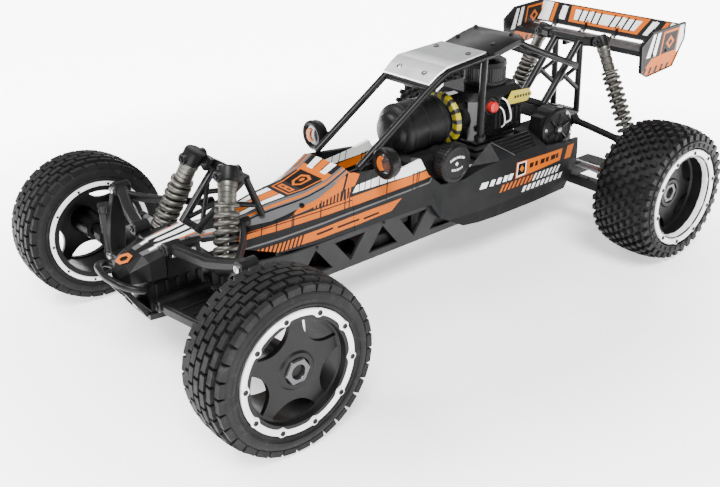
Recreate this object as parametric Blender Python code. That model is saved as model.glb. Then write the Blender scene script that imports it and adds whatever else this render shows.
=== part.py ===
"""One-fifth scale off-road buggy with a two-stroke engine, as separate named pieces.

Units in the tables below are millimetres; meshes are made in metres.
+Z is up, the nose points to -Y and the driver's left is +X.
The origin lies on the ground, under the middle of the whole buggy.
"""
from math import cos, hypot, pi, radians, sin

import bmesh
import bpy
from mathutils import Matrix, Vector

MM = 0.001

# Driving dimensions ---------------------------------------------------------------
FRONT_AXLE_Y = -312.0
REAR_AXLE_Y = 264.0
WHEEL_FACE_X = 227.0
FRONT_TYRE_R = 86.0
REAR_TYRE_R = 84.0
FRONT_TYRE_W = 62.0
REAR_TYRE_W = 79.0
RIM_SEAT_R = 54.0
RIM_LIP_R = 60.0
FLOOR_Z = 52.0
FLOOR_T = 3.5
RAIL_HALF_X = 47.0
RAIL_TOP_Z = 94.5
TUBE_R = 4.2
WHEEL_SEGMENTS = 24

# Suspension points of the left side; the right side mirrors them in X --------------
FRONT_ARM_PIVOT = (30.0, FRONT_AXLE_Y, 82.0)
FRONT_CARRIER_PIVOT = (130.0, FRONT_AXLE_Y, 72.0)
FRONT_UPPER_PIVOT = (33.0, FRONT_AXLE_Y, 141.0)
KINGPIN = (143.0, FRONT_AXLE_Y, FRONT_TYRE_R)
FRONT_SHOCK_TOP = (34.0, -253.0, 200.0)
FRONT_SHOCK_EYE = (72.0, -291.0, 98.0)
TIE_ROD_Y = -268.0
TIE_ROD_Z = 100.0
REAR_ARM_PIVOT = (35.0, REAR_AXLE_Y, 66.0)
REAR_CARRIER_PIVOT = (137.0, REAR_AXLE_Y, 64.0)
REAR_LINK_PIVOT = (50.0, 266.0, 141.0)
REAR_SHOCK_TOP = (49.0, 313.0, 236.0)
REAR_SHOCK_EYE = (117.0, 312.0, 94.0)

# Fuel tank, engine and drive --------------------------------------------------------
TANK_DRUM_R = 31.0
TANK_DRUM_Z = 176.0
TANK_DRUM_Y = (-8.0, 58.0)
FUEL_CAP = (53.5, 32.6, 144.4)
FUEL_CAP_R = 23.0
FUEL_CAP_T = 16.0
STARTER_R = 31.0
STARTER_Z = 174.0
KILL_SWITCH = (37.8, 119.0, 188.0)
KILL_SWITCH_R = 6.6
KILL_SWITCH_TRAVEL = 3.0
GEAR_COVER = (222.0, 140.0)
GEAR_COVER_R = 27.0

# Colours: base colour, roughness, metallic -------------------------------------------
BLACK = ((0.02, 0.02, 0.022), 0.5, 0.0)
SATIN_BLACK = ((0.035, 0.035, 0.037), 0.42, 0.0)
RUBBER = ((0.03, 0.03, 0.03), 0.8, 0.0)
DARK_GREY = ((0.09, 0.09, 0.095), 0.5, 0.0)
GREY_METAL = ((0.35, 0.35, 0.36), 0.35, 0.9)
SILVER = ((0.72, 0.73, 0.75), 0.35, 0.8)
RED = ((0.8, 0.05, 0.03), 0.4, 0.0)


# Building blocks ------------------------------------------------------------------------
def close_up(bm):
    """Turn every face of a closed shape outwards."""
    bmesh.ops.recalc_face_normals(bm, faces=bm.faces[:])
    return bm


def loft(rings):
    """Join rings of points, all of one length, into a capped solid."""
    bm = bmesh.new()
    rows = [[bm.verts.new(Vector(point) * MM) for point in ring] for ring in rings]
    for row, following in zip(rows, rows[1:]):
        count = len(row)
        for i in range(count):
            j = (i + 1) % count
            bm.faces.new((row[i], row[j], following[j], following[i]))
    bm.faces.new(rows[0])
    bm.faces.new(rows[-1])
    return close_up(bm)


def block(low, high):
    """A rectangular block between two corners."""
    (x0, y0, z0), (x1, y1, z1) = low, high
    ring = [(x0, y0), (x1, y0), (x1, y1), (x0, y1)]
    return loft([[(x, y, z) for x, y in ring] for z in (z0, z1)])


def side_block(side, inner, outer):
    """A block given by its left-hand corners and mirrored onto a side."""
    low, high = sorted((side * inner[0], side * outer[0]))
    return block((low, *inner[1:]), (high, *outer[1:]))


def chamfered_block(low, high, cut):
    """A block whose upright edges and top rim are chamfered."""
    (x0, y0, z0), (x1, y1, z1) = low, high

    def outline(inset, z):
        a, b, c, d = x0 + inset, x1 - inset, y0 + inset, y1 - inset
        corners = [(a + cut, c), (b - cut, c), (b, c + cut), (b, d - cut)]
        corners += [(b - cut, d), (a + cut, d), (a, d - cut), (a, c + cut)]
        return [(x, y, z) for x, y in corners]

    return loft([outline(0.0, z0), outline(0.0, z1 - cut), outline(cut * 0.7, z1)])


def side_plate(outline, x0, x1):
    """A plate cut to a (y, z) outline, between two x planes."""
    return loft([[(x, y, z) for y, z in outline] for x in (x0, x1)])


def square_to(direction):
    """Two unit vectors across a direction."""
    along = direction.normalized()
    helper = Vector((0, 0, 1)) if abs(along.z) < 0.9 else Vector((0, 1, 0))
    across = along.cross(helper).normalized()
    return across, along.cross(across).normalized()


def turned(profile, start, direction, segments, phase=0.0):
    """Turn a profile of (distance, radius) pairs round an axis.

    A profile whose ends lie on the axis makes a solid; otherwise it is a closed
    outline, and the result is a ring.
    """
    bm = bmesh.new()
    along = Vector(direction).normalized()
    across, upward = square_to(along)
    solid = profile[0][1] == 0.0
    rows = []
    for distance, radius in profile:
        centre = Vector(start) + along * distance
        if radius == 0.0:
            rows.append([bm.verts.new(centre * MM)])
            continue
        row = []
        for i in range(segments):
            turn = phase + 2 * pi * i / segments
            offset = across * cos(turn) + upward * sin(turn)
            row.append(bm.verts.new((centre + offset * radius) * MM))
        rows.append(row)
    pairs = list(zip(rows, rows[1:]))
    if not solid:
        pairs.append((rows[-1], rows[0]))
    for row, following in pairs:
        for i in range(segments):
            j = (i + 1) % segments
            if len(row) == 1:
                bm.faces.new((row[0], following[j], following[i]))
            elif len(following) == 1:
                bm.faces.new((row[i], row[j], following[0]))
            else:
                bm.faces.new((row[i], row[j], following[j], following[i]))
    return close_up(bm)


def rod(start, end, radius, segments=12):
    """A plain round bar between two points."""
    span = Vector(end) - Vector(start)
    profile = [(0.0, 0.0), (0.0, radius), (span.length, radius), (span.length, 0.0)]
    return turned(profile, start, span, segments)


def tube(points, radius, sides=8):
    """A bent bar along several points, mitred at its bends."""
    path = [Vector(point) for point in points]
    rings = []
    across, upward = square_to(path[1] - path[0])
    for i, point in enumerate(path):
        before = (point - path[i - 1]).normalized() if i else None
        after = (path[i + 1] - point).normalized() if i < len(path) - 1 else None
        tangent = ((before or after) + (after or before)).normalized()
        across = (across - tangent * across.dot(tangent)).normalized()
        upward = tangent.cross(across)
        stretch = 1.0 / tangent.dot(after or before)
        ring = []
        for k in range(sides):
            turn = 2 * pi * (k + 0.5) / sides
            offset = (across * cos(turn) + upward * sin(turn)) * radius * stretch ** 0.5
            ring.append(tuple(point + offset))
        rings.append(ring)
    return loft(rings)


def mirrored(points, side):
    """Points of the left side, or of the right one when side is -1."""
    return [(x * side, y, z) for x, y, z in points]


def left_or_right(point, side):
    """One point of the left side, or its mirror image."""
    return (point[0] * side, point[1], point[2])


# Objects -------------------------------------------------------------------------------
def clear_scene():
    for item in list(bpy.data.objects):
        bpy.data.objects.remove(item, do_unlink=True)


def material(name, look):
    colour, roughness, metallic = look
    made = bpy.data.materials.new(name)
    made.use_nodes = True
    shader = made.node_tree.nodes["Principled BSDF"]
    shader.inputs["Base Color"].default_value = (*colour, 1.0)
    shader.inputs["Roughness"].default_value = roughness
    shader.inputs["Metallic"].default_value = metallic
    made.diffuse_color = (*colour, 1.0)
    return made


def as_object(name, bm):
    mesh = bpy.data.meshes.new(name)
    bm.to_mesh(mesh)
    bm.free()
    item = bpy.data.objects.new(name, mesh)
    bpy.context.scene.collection.objects.link(item)
    return item


def combine(base, shape, operation):
    """Join a shape to an object, or cut it away, and keep the result as its mesh."""
    tool = as_object("tool", shape)
    step = base.modifiers.new("step", "BOOLEAN")
    step.operation = operation
    step.solver = "EXACT"
    step.object = tool
    view_layer = bpy.context.view_layer
    view_layer.update()
    evaluated = base.evaluated_get(bpy.context.evaluated_depsgraph_get())
    result = bpy.data.meshes.new_from_object(evaluated)
    base.modifiers.clear()
    base.data = result
    bpy.data.objects.remove(tool, do_unlink=True)


def piece(name, look, shapes, cuts=(), origin=(0.0, 0.0, 0.0), smooth=True):
    """Make one named piece from shapes joined together, less the cuts."""
    item = as_object(name, shapes[0])
    for shape in shapes[1:]:
        combine(item, shape, "UNION")
    for shape in cuts:
        combine(item, shape, "DIFFERENCE")
    place = Vector(origin) * MM
    item.data.transform(Matrix.Translation(-place))
    item.location = place
    item.data.name = name
    item.data.materials.clear()
    item.data.materials.append(material(name, look))
    if smooth:
        item.data.shade_smooth()
        item.data.set_sharp_from_angle(angle=radians(35))
    return item


# Chassis and body -------------------------------------------------------------------------
# y, half width, floor level, top of the side walls
TRAY_STATIONS = [
    (-350.4, 22.0, 64.0, 70.0),
    (-262.0, 30.0, 60.0, 68.0),
    (-225.0, 38.0, 55.0, 94.0),
    (-190.0, RAIL_HALF_X, FLOOR_Z, RAIL_TOP_Z),
    (60.0, RAIL_HALF_X, FLOOR_Z, RAIL_TOP_Z),
    (85.0, RAIL_HALF_X, FLOOR_Z, 66.0),
    (215.0, RAIL_HALF_X, FLOOR_Z, 66.0),
    (228.0, 30.0, FLOOR_Z, 60.0),
    (335.0, 30.0, FLOOR_Z, 60.0),
]
TRUSS_PITCH = 48.0
TRUSS_START_Y = -182.0
TRUSS_COUNT = 5


def tray_section(y, half, floor, top):
    wall = 3.5
    inner = half - wall
    deck = floor + FLOOR_T
    outline = [(-half, floor), (half, floor), (half, top), (inner, top)]
    outline += [(inner, deck), (-inner, deck), (-inner, top), (-half, top)]
    return [(x, y, z) for x, z in outline]


def truss_cuts():
    """Triangles through both side walls, point up and point down in turn."""
    low, high = FLOOR_Z + 8.0, RAIL_TOP_Z - 6.0
    reach = RAIL_HALF_X + 6.0
    for i in range(TRUSS_COUNT):
        y = TRUSS_START_Y + i * TRUSS_PITCH
        upright = i % 2 == 0
        base, tip = (low, high) if upright else (high, low)
        outline = [(y, base), (y + TRUSS_PITCH * 0.92, base), (y + TRUSS_PITCH * 0.46, tip)]
        yield side_plate(outline, -reach, reach)


def make_chassis():
    body = loft([tray_section(*station) for station in TRAY_STATIONS])
    piece("chassis_tray", DARK_GREY, [body], list(truss_cuts()), smooth=False)


def make_front_bumper():
    half_hoop = [(26.0, -352.0, 104.0), (42.0, -362.0, 110.0), (30.0, -377.0, 115.0)]
    hoop = mirrored(half_hoop, -1) + [(0.0, -382.0, 116.0)] + half_hoop[::-1]
    skid = loft([
        [(-20.0, -351.5, 70.5), (20.0, -351.5, 70.5), (20.0, -355.0, 66.5), (-20.0, -355.0, 66.5)],
        [(-26.0, -366.0, 92.0), (26.0, -366.0, 92.0), (26.0, -370.0, 90.5), (-26.0, -370.0, 90.5)],
        [(-31.0, -375.0, 115.0), (31.0, -375.0, 115.0), (31.0, -379.0, 113.6), (-31.0, -379.0, 113.6)],
    ])
    piece("front_bumper", SATIN_BLACK, [tube(hoop, 3.6), skid])


def make_front_bulkhead():
    lower = block((-19.5, -347.0, 70.6), (19.5, -285.0, 106.0))
    upper = block((-24.0, -326.0, 104.0), (24.0, -286.8, 133.6))
    post = block((-14.5, -272.0, 72.0), (14.5, -264.0, 93.2))
    link = block((-9.0, -290.0, 71.0), (9.0, -262.0, 78.0))
    piece("front_bulkhead", BLACK, [lower, upper, link, post], smooth=False)


def make_front_tower():
    shapes = [tube([(-31.0, -231.0, 187.0), (31.0, -231.0, 187.0)], 5.2)]
    for side in (1, -1):
        leg = mirrored([(27.0, -231.5, 186.0), (15.0, -284.0, 140.0)], side)
        brace = mirrored([(29.0, -230.5, 188.0), (28.0, -213.5, 142.8)], side)
        tie = mirrored([(20.0, -257.0, 164.0), (28.3, -218.0, 154.0)], side)
        shapes += [tube(leg, 4.0), tube(brace, 3.6), tube(tie, 2.8)]
    shapes.append(tube([(-16.0, -281.0, 141.5), (16.0, -281.0, 141.5)], 3.7))
    piece("front_shock_tower", SATIN_BLACK, shapes)


# y, half width at the top, lowest z, shoulder z, centre z
NOSE_STATIONS = [
    (-371.0, 9.0, 110.0, 114.0, 117.5),
    (-364.0, 19.0, 108.0, 121.0, 126.0),
    (-345.0, 25.0, 108.0, 128.0, 131.5),
    (-329.0, 27.5, 108.0, 132.5, 135.0),
    (-328.0, 27.5, 134.2, 135.6, 136.4),
    (-300.0, 28.0, 134.6, 137.0, 139.2),
    (-286.2, 26.0, 135.0, 137.5, 141.0),
    (-285.2, 25.5, 130.8, 134.6, 136.2),
    (-250.0, 28.0, 126.0, 130.5, 134.0),
]


def make_nose():
    rings = []
    for y, half, low, shoulder, top in NOSE_STATIONS:
        outline = [(-half, low), (half, low), (half, shoulder), (half * 0.45, top)]
        outline += [(-half * 0.45, top), (-half, shoulder)]
        rings.append([(x, y, z) for x, z in outline])
    piece("nose_cover", BLACK, [loft(rings)])


# y, half width and z of the lower edge, of the side ridge and of the flat centre
HOOD_STATIONS = [
    (-246.0, 32.0, 113.0, 33.0, 127.0, 14.0, 138.0),
    (-200.0, 42.0, 97.0, 38.0, 131.5, 19.0, 146.0),
    (-153.0, 46.5, 95.2, 41.0, 139.5, 24.0, 149.5),
    (-125.0, 47.0, 95.2, 41.5, 152.0, 28.0, 156.0),
    (-105.3, 47.5, 95.2, 41.7, 163.0, 31.0, 165.8),
]
HOOD_T = 2.6


def hood_section(y, low_x, low_z, ridge_x, ridge_z, flat_x, flat_z):
    outer = [(low_x, low_z), (ridge_x, ridge_z), (flat_x, flat_z)]
    inner = [(flat_x - 1.0, flat_z - HOOD_T), (ridge_x - HOOD_T, ridge_z - HOOD_T * 0.9)]
    inner.append((low_x - HOOD_T, low_z))
    right = outer + [(-x, z) for x, z in outer[::-1]]
    back = [(-x, z) for x, z in inner[::-1]] + inner
    return [(x, y, z) for x, z in right + back]


def make_hood():
    piece("hood_shell", BLACK, [loft([hood_section(*station) for station in HOOD_STATIONS])])


# y, then x and z of: inner top, outer top, outer middle, outer bottom, inner bottom,
# inner step, step edge
POD_STATIONS = [
    (-105.0, 38.6, 161.0, 41.5, 162.5, 45.0, 128.0, 48.0, 95.2, 44.8, 95.2, 42.5, 118.0, 40.2, 143.0),
    (-60.0, 41.0, 155.5, 44.5, 156.5, 48.0, 125.0, 49.5, 95.2, 45.0, 95.2, 44.3, 118.0, 42.4, 140.0),
    (-28.0, 44.0, 150.8, 48.0, 151.5, 50.0, 124.0, 50.5, 95.2, 46.0, 95.2, 45.4, 118.0, 44.6, 138.0),
    (-6.0, 44.2, 154.0, 48.2, 155.0, 51.0, 122.0, 51.5, 95.2, 46.0, 95.2, 45.6, 118.0, 45.0, 138.0),
    (6.0, 44.4, 131.0, 49.5, 132.0, 52.0, 114.0, 53.0, 95.2, 47.6, 95.2, 46.6, 108.0, 45.4, 120.0),
    (18.0, 46.4, 118.8, 58.0, 119.4, 60.0, 100.0, 58.0, 76.0, 47.8, 76.0, 47.6, 90.0, 47.2, 105.0),
    (52.0, 47.8, 117.6, 62.0, 117.8, 64.0, 98.0, 62.0, 57.0, 47.9, 57.0, 47.8, 80.0, 47.8, 100.0),
    (76.0, 48.4, 124.0, 64.5, 124.5, 67.0, 98.0, 64.5, 55.0, 47.9, 55.0, 47.9, 80.0, 48.0, 100.0),
    (108.0, 49.0, 147.0, 66.5, 128.0, 69.0, 98.0, 65.5, 54.0, 47.9, 54.0, 47.9, 80.0, 48.4, 106.0),
    (176.0, 51.0, 148.0, 68.0, 131.0, 70.5, 100.0, 66.0, 54.0, 47.9, 54.0, 48.0, 104.0, 49.0, 106.0),
    (192.0, 62.4, 126.0, 68.8, 127.0, 70.5, 98.0, 66.0, 54.5, 47.9, 54.5, 48.2, 106.0, 61.5, 108.0),
    (236.0, 62.4, 121.0, 68.8, 122.5, 70.0, 92.0, 66.0, 56.0, 48.0, 56.0, 48.2, 102.0, 61.5, 104.0),
    (255.0, 62.4, 122.0, 68.4, 123.5, 69.0, 104.0, 68.0, 88.0, 58.0, 88.0, 58.2, 96.0, 61.5, 100.0),
]


def make_side_pods():
    for side, word in ((1, "left"), (-1, "right")):
        rings = []
        for y, *values in POD_STATIONS:
            pairs = list(zip(values[::2], values[1::2]))
            rings.append([(x * side, y, z) for x, z in pairs])
        piece("side_pod_" + word, DARK_GREY, [loft(rings)])


# Roll cage and roof ---------------------------------------------------------------------------
CAGE_RAIL = [
    (38.6, -88.0, 165.5),
    (38.8, 17.0, 232.0),
    (39.8, 40.0, 245.5),
    (37.5, 108.0, 250.4),
    (36.0, 124.0, 250.0),
    (36.0, 166.0, 258.6),
    (36.0, 180.0, 251.0),
    (31.5, 286.0, 206.0),
]
CAGE_CROSS_BARS = [(17.0, 231.0, 38.0), (110.5, 249.6, 37.0), (129.0, 251.0, 36.0), (170.2, 255.2, 35.1)]
LIGHT_POD = (65.0, -68.0, 172.0)
LIGHT_POD_R = 17.5


def make_roll_cage():
    shapes = [tube(CAGE_RAIL, TUBE_R), tube(mirrored(CAGE_RAIL, -1), TUBE_R)]
    for y, z, half in CAGE_CROSS_BARS:
        shapes.append(tube([(-half, y, z), (half, y, z)], 3.4))
    x, y, z = LIGHT_POD
    for side in (1, -1):
        pillar = mirrored([(38.4, 106.0, 249.0), (51.0, 88.5, 158.0)], side)
        stub = mirrored([(39.0, -66.0, 178.6), (56.0, -64.0, 173.0)], side)
        bowl = [(0.0, 0.0), (0.0, LIGHT_POD_R - 1.5), (2.5, LIGHT_POD_R)]
        bowl += [(9.0, LIGHT_POD_R), (16.0, LIGHT_POD_R * 0.6), (17.0, 0.0)]
        shapes.append(tube(pillar, 3.9))
        shapes.append(tube(stub, 3.2))
        shapes.append(turned(bowl, (x * side, y - 8.0, z), (0, 1, 0), 16))
    piece("roll_cage", SATIN_BLACK, shapes)


def bent_sheet(stations, thickness):
    """A sheet across the buggy; each station is y, z of its top face and half width."""
    rings = []
    for y, z, half in stations:
        low = z - thickness
        rings.append([(-half, y, low), (half, y, low), (half, y, z), (-half, y, z)])
    return loft(rings)


def make_roof():
    front = [(14.6, 237.9, 39.4), (27.0, 246.6, 40.8), (40.0, 252.7, 42.2), (108.0, 257.4, 38.0)]
    holes = [rod((x, y, z - 8.0), (x, y, z + 8.0), 2.2, 10)
             for x, y, z in ((21.4, 24.0, 244.0), (-21.4, 24.0, 244.0),
                             (27.0, 89.0, 256.0), (-27.0, 89.0, 256.0))]
    piece("roof_plate", SILVER, [bent_sheet(front, 2.0)], holes, smooth=False)
    rear = [(117.0, 257.8, 36.5), (130.0, 261.0, 38.0), (160.0, 267.8, 38.4), (168.0, 266.6, 38.0)]
    piece("rear_roof_plate", DARK_GREY, [bent_sheet(rear, 2.6)], smooth=False)


# Tank, engine and gearbox --------------------------------------------------------------------
def make_fuel_tank():
    y0, y1 = TANK_DRUM_Y
    drum = [(0.0, 0.0), (0.0, TANK_DRUM_R - 7.0), (6.0, TANK_DRUM_R)]
    drum += [(y1 - y0, TANK_DRUM_R), (y1 - y0, 0.0)]
    shapes = [chamfered_block((-42.0, -10.0, 60.0), (42.0, 61.0, 152.0), 6.0)]
    shapes.append(turned(drum, (0.0, y0, TANK_DRUM_Z), (0, 1, 0), 24))
    shapes.append(rod((30.0, FUEL_CAP[1], FUEL_CAP[2]), (53.0, FUEL_CAP[1], FUEL_CAP[2]), 13.0, 14))
    piece("fuel_tank", DARK_GREY, shapes)


def make_fuel_cap():
    profile = [(0.0, 0.0), (0.0, FUEL_CAP_R), (FUEL_CAP_T - 3.0, FUEL_CAP_R)]
    profile += [(FUEL_CAP_T, FUEL_CAP_R - 3.0), (FUEL_CAP_T, 0.0)]
    piece("fuel_cap", BLACK, [turned(profile, FUEL_CAP, (1, 0, 0), 24)], origin=FUEL_CAP)


def make_engine():
    crankcase = chamfered_block((-36.0, 92.0, 57.0), (36.0, 190.0, 116.0), 5.0)
    fins = [crankcase]
    for i in range(4):
        z = 114.5 + i * 8.6
        fins.append(block((-31.0, 104.0, z), (31.0, 172.0, z + 4.2)))
    fins.append(block((-22.0, 112.0, 112.0), (22.0, 164.0, 146.0)))
    fins.append(rod((-33.0, 208.5, 92.0), (30.0, 208.5, 92.0), 15.5, 16))
    fins.append(rod((0.0, 184.0, 92.0), (0.0, 200.0, 92.0), 7.0, 12))
    piece("engine_block", GREY_METAL, fins, smooth=False)
    shroud = chamfered_block((-37.0, 90.0, 148.8), (37.0, 186.0, 206.0), 9.0)
    disc = [(0.0, 0.0), (0.0, STARTER_R - 4.0), (4.0, STARTER_R), (24.0, STARTER_R), (24.0, 0.0)]
    starter = turned(disc, (0.0, 70.0, STARTER_Z), (0, 1, 0), 24)
    filter_can = [(0.0, 0.0), (0.0, 25.0), (26.0, 25.0), (31.0, 20.0), (31.0, 0.0)]
    can = turned(filter_can, (0.0, 148.0, 205.0), (0, 0, 1), 20)
    x, y, z = KILL_SWITCH
    socket = rod((x - KILL_SWITCH_TRAVEL - 1.3, y, z), (x + 2.0, y, z), KILL_SWITCH_R + 0.8, 14)
    piece("engine_shroud", BLACK, [shroud, starter, can], [socket])


def make_kill_switch():
    profile = [(0.0, 0.0), (0.0, KILL_SWITCH_R), (7.5, KILL_SWITCH_R)]
    profile += [(9.5, KILL_SWITCH_R - 2.0), (9.5, 0.0)]
    piece("kill_switch", RED, [turned(profile, KILL_SWITCH, (1, 0, 0), 14)], origin=KILL_SWITCH)


def make_gearbox():
    case = chamfered_block((-25.5, 229.0, 56.5), (25.5, 300.0, 124.0), 6.0)
    mount = block((-46.0, 262.0, 128.5), (46.0, 270.5, 144.0))
    neck = block((-14.0, 258.5, 118.0), (14.0, 274.0, 136.0))
    piece("gearbox_case", BLACK, [case, neck, mount], smooth=False)
    y, z = GEAR_COVER
    profile = [(0.0, 0.0), (0.0, GEAR_COVER_R), (21.0, GEAR_COVER_R)]
    profile += [(26.0, GEAR_COVER_R - 5.0), (26.0, 0.0)]
    cover = turned(profile, (35.0, y, z), (1, 0, 0), 24)
    ear = block((38.5, 193.0, 132.0), (56.0, 205.0, 160.0))
    lug = block((36.0, 232.0, 112.4), (44.0, 243.0, 122.0))
    piece("gear_cover", SATIN_BLACK, [cover, ear, lug], smooth=True)


def make_rear_tower():
    shapes = [tube([(-37.5, 306.0, 234.5), (37.5, 306.0, 234.5)], 5.0)]
    shapes.append(tube([(-21.0, 240.0, 160.0), (21.0, 240.0, 160.0)], 4.4))
    shapes.append(tube([(-21.0, 309.0, 134.0), (21.0, 309.0, 134.0)], 4.3))
    for side in (1, -1):
        long_strut = mirrored([(20.0, 305.5, 234.0), (19.6, 239.6, 160.3)], side)
        rear_strut = mirrored([(20.6, 306.3, 233.6), (20.2, 309.2, 134.4)], side)
        low_strut = mirrored([(19.2, 240.4, 159.6), (19.9, 308.6, 133.8)], side)
        middle = mirrored([(20.3, 272.0, 196.0), (20.1, 307.8, 168.0)], side)
        shapes += [tube(long_strut, 4.7), tube(rear_strut, 4.1), tube(low_strut, 3.9), tube(middle, 3.3)]
    shapes.append(block((-12.0, 304.8, 126.0), (12.0, 313.0, 138.0)))
    piece("rear_shock_tower", SATIN_BLACK, shapes)


# Wing ------------------------------------------------------------------------------------------
WING_HALF_SPAN = 113.0
WING_PLATE_T = 3.0
MAIN_PLANE = [
    (323.0, 223.0), (327.0, 221.6), (369.0, 224.6),
    (371.0, 227.0), (350.0, 229.6), (330.0, 227.6),
]
FLAP = [(373.5, 231.0), (375.6, 228.8), (396.0, 252.6), (394.0, 254.2)]
END_PLATE = [
    (308.5, 207.0),
    (322.0, 199.5),
    (376.0, 204.0),
    (398.0, 237.0),
    (397.2, 258.0),
    (327.5, 255.0),
    (305.5, 240.7),
]
WING_RIBS_X = (-77.0, -26.0, 26.0, 77.0)


def make_wing():
    reach = WING_HALF_SPAN + 1.0
    shapes = [side_plate(MAIN_PLANE, -reach, reach), side_plate(FLAP, -reach, reach)]
    for side in (1, -1):
        inner = side * WING_HALF_SPAN
        shapes.append(side_plate(END_PLATE, inner, inner + side * WING_PLATE_T))
    rib = [(352.0, 224.4), (366.0, 223.2), (380.0, 231.0), (394.2, 251.0), (392.0, 252.8), (372.0, 233.6)]
    for x in WING_RIBS_X:
        shapes.append(side_plate(rib, x - 1.6, x + 1.6))
    for x in (-12.0, 12.0):
        foot = [(313.0, 221.0), (334.0, 222.6), (334.0, 227.0), (313.0, 232.0)]
        shapes.append(side_plate(foot, x - 3.0, x + 3.0))
    piece("rear_wing", BLACK, shapes, smooth=False)


# Steering ----------------------------------------------------------------------------------------
def make_steering():
    servo = block((-22.0, -236.0, 61.4), (22.0, -196.0, 96.0))
    horn = rod((0.0, -216.0, 94.0), (0.0, -216.0, 102.0), 7.0, 12)
    piece("steering_servo", BLACK, [servo, horn], smooth=False)
    shoe = block((-14.0, -273.5, 94.0), (14.0, -262.5, 98.0))
    bar = block((-19.0, -272.5, 96.2), (19.0, -263.5, 103.6))
    arm = block((-4.4, -266.0, 97.0), (4.4, -240.0, 102.8))
    piece("steering_rack", GREY_METAL, [bar, shoe, arm], origin=(0.0, -268.0, 100.0), smooth=False)


# Wheels --------------------------------------------------------------------------------------------
def flat_radius(radius):
    """Radius of the corners of a turned ring whose flats lie at the given radius."""
    return radius / cos(pi / WHEEL_SEGMENTS)


def tyre_profile(width, radius):
    """Closed outline of a tyre; distance runs outwards from its inner side."""
    half = width / 2
    seat = RIM_SEAT_R + 0.5
    lip = RIM_LIP_R + 0.8
    outline = [(4.5, seat), (width - 4.5, seat), (width - 4.5, lip), (width, lip + 3.0)]
    outline += [(width + 0.8, radius * 0.86), (width - 2.5, radius - 3.0), (half + 12.0, radius)]
    outline += [(half - 12.0, radius), (2.5, radius - 3.0), (-0.8, radius * 0.86)]
    outline += [(0.0, lip + 3.0), (4.5, lip)]
    return [(distance, flat_radius(r)) for distance, r in outline]


def rim_profile(width, dish, hub_in):
    """Closed outline of a rim whose disc lies at the dish depth under its outer lip."""
    disc = width - dish
    barrel_in = RIM_SEAT_R - 4.0
    outline = [(0.6, RIM_LIP_R), (3.6, RIM_LIP_R), (4.0, RIM_SEAT_R), (width - 4.0, RIM_SEAT_R)]
    outline += [(width - 3.6, RIM_LIP_R), (width - 0.2, RIM_LIP_R), (width - 0.2, barrel_in + 1.0)]
    outline += [(disc, barrel_in), (disc, 16.0), (disc + 2.0, 13.0), (disc + 2.0, 8.2)]
    outline += [(hub_in, 8.2), (hub_in, 13.0), (disc - 5.0, 15.0)]
    outline += [(disc - 5.0, barrel_in), (0.6, barrel_in)]
    return [(distance, flat_radius(r) if r > 20 else r) for distance, r in outline]


def star_cuts(centre, side, disc_x):
    """Five rounded windows between the arms of the star."""
    x0, x1 = centre[0] + side * (disc_x - 9.0), centre[0] + side * (disc_x + 4.0)
    window = [(-15.0, 40.0), (-6.0, 30.0), (6.0, 30.0), (15.0, 40.0)]
    window += [(13.5, 46.0), (0.0, 49.0), (-13.5, 46.0)]
    for i in range(5):
        turn = radians(36 + 72 * i)
        outline = []
        for across, out in window:
            y = centre[1] + across * cos(turn) + out * sin(turn)
            z = centre[2] - across * sin(turn) + out * cos(turn)
            outline.append((y, z))
        yield side_plate(outline, x0, x1)


def make_wheel(prefix, side, axle_y, radius, width, dish, hub_in):
    centre = (side * (WHEEL_FACE_X - width), axle_y, radius)
    spin = (side, 0, 0)
    phase = pi / WHEEL_SEGMENTS
    rim = turned(rim_profile(width, dish, hub_in), centre, spin, WHEEL_SEGMENTS, phase)
    piece(prefix + "_rim", BLACK, [rim], list(star_cuts(centre, side, width - dish)), origin=centre)
    tyre = turned(tyre_profile(width, radius), centre, spin, WHEEL_SEGMENTS, phase)
    piece(prefix + "_tyre", RUBBER, [tyre], origin=centre)


# Dampers --------------------------------------------------------------------------------------------
def make_damper(prefix, side, top, eye, sizes):
    """Body with its blind bore, rod with its lower cup and eye, and the spring sleeve."""
    top, eye = left_or_right(top, side), left_or_right(eye, side)
    along = Vector(eye) - Vector(top)
    length = along.length
    cap_r, body_r, collar_r, collar, body_end, bore_top, cup = sizes
    profile = [(-8.0, 0.0), (-8.0, cap_r - 2.0), (-5.0, cap_r), (9.0, cap_r), (11.0, body_r)]
    profile += [(collar, body_r), (collar, collar_r)]
    profile += [(collar + 3.6, collar_r), (collar + 3.6, body_r - 0.6)]
    profile += [(body_end, body_r - 0.6), (body_end, 4.3), (bore_top, 4.3), (bore_top, 0.0)]
    piece(prefix + "_shock_body", GREY_METAL, [turned(profile, top, along, 16)], origin=top)
    rod_profile = [(body_end - 4.0, 0.0), (body_end - 4.0, 3.5), (cup, 3.5), (cup, collar_r)]
    rod_profile += [(cup + 3.0, collar_r), (cup + 5.0, 5.5), (length, 5.5)]
    rod_profile += [(length + 4.5, 3.0), (length + 4.5, 0.0)]
    piece(prefix + "_shock_rod", SILVER, [turned(rod_profile, top, along, 14)], origin=eye)
    low, high = collar + 4.1, cup - 0.6
    ring = [(low, body_r + 0.3), (low, collar_r), (high, collar_r), (high, body_r + 0.3)]
    piece(prefix + "_spring", GREY_METAL, [turned(ring, top, along, 16)], origin=top)


FRONT_DAMPER = (10.5, 9.3, 12.2, 34.0, 60.0, 32.0, 96.0)
REAR_DAMPER = (8.4, 7.9, 11.2, 46.0, 100.0, 58.0, 140.0)


# Front corners ------------------------------------------------------------------------------------------
def arm_section(side, x, y0, y1, z0, z1):
    return [(side * x, y0, z0), (side * x, y1, z0), (side * x, y1, z1), (side * x, y0, z1)]


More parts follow.
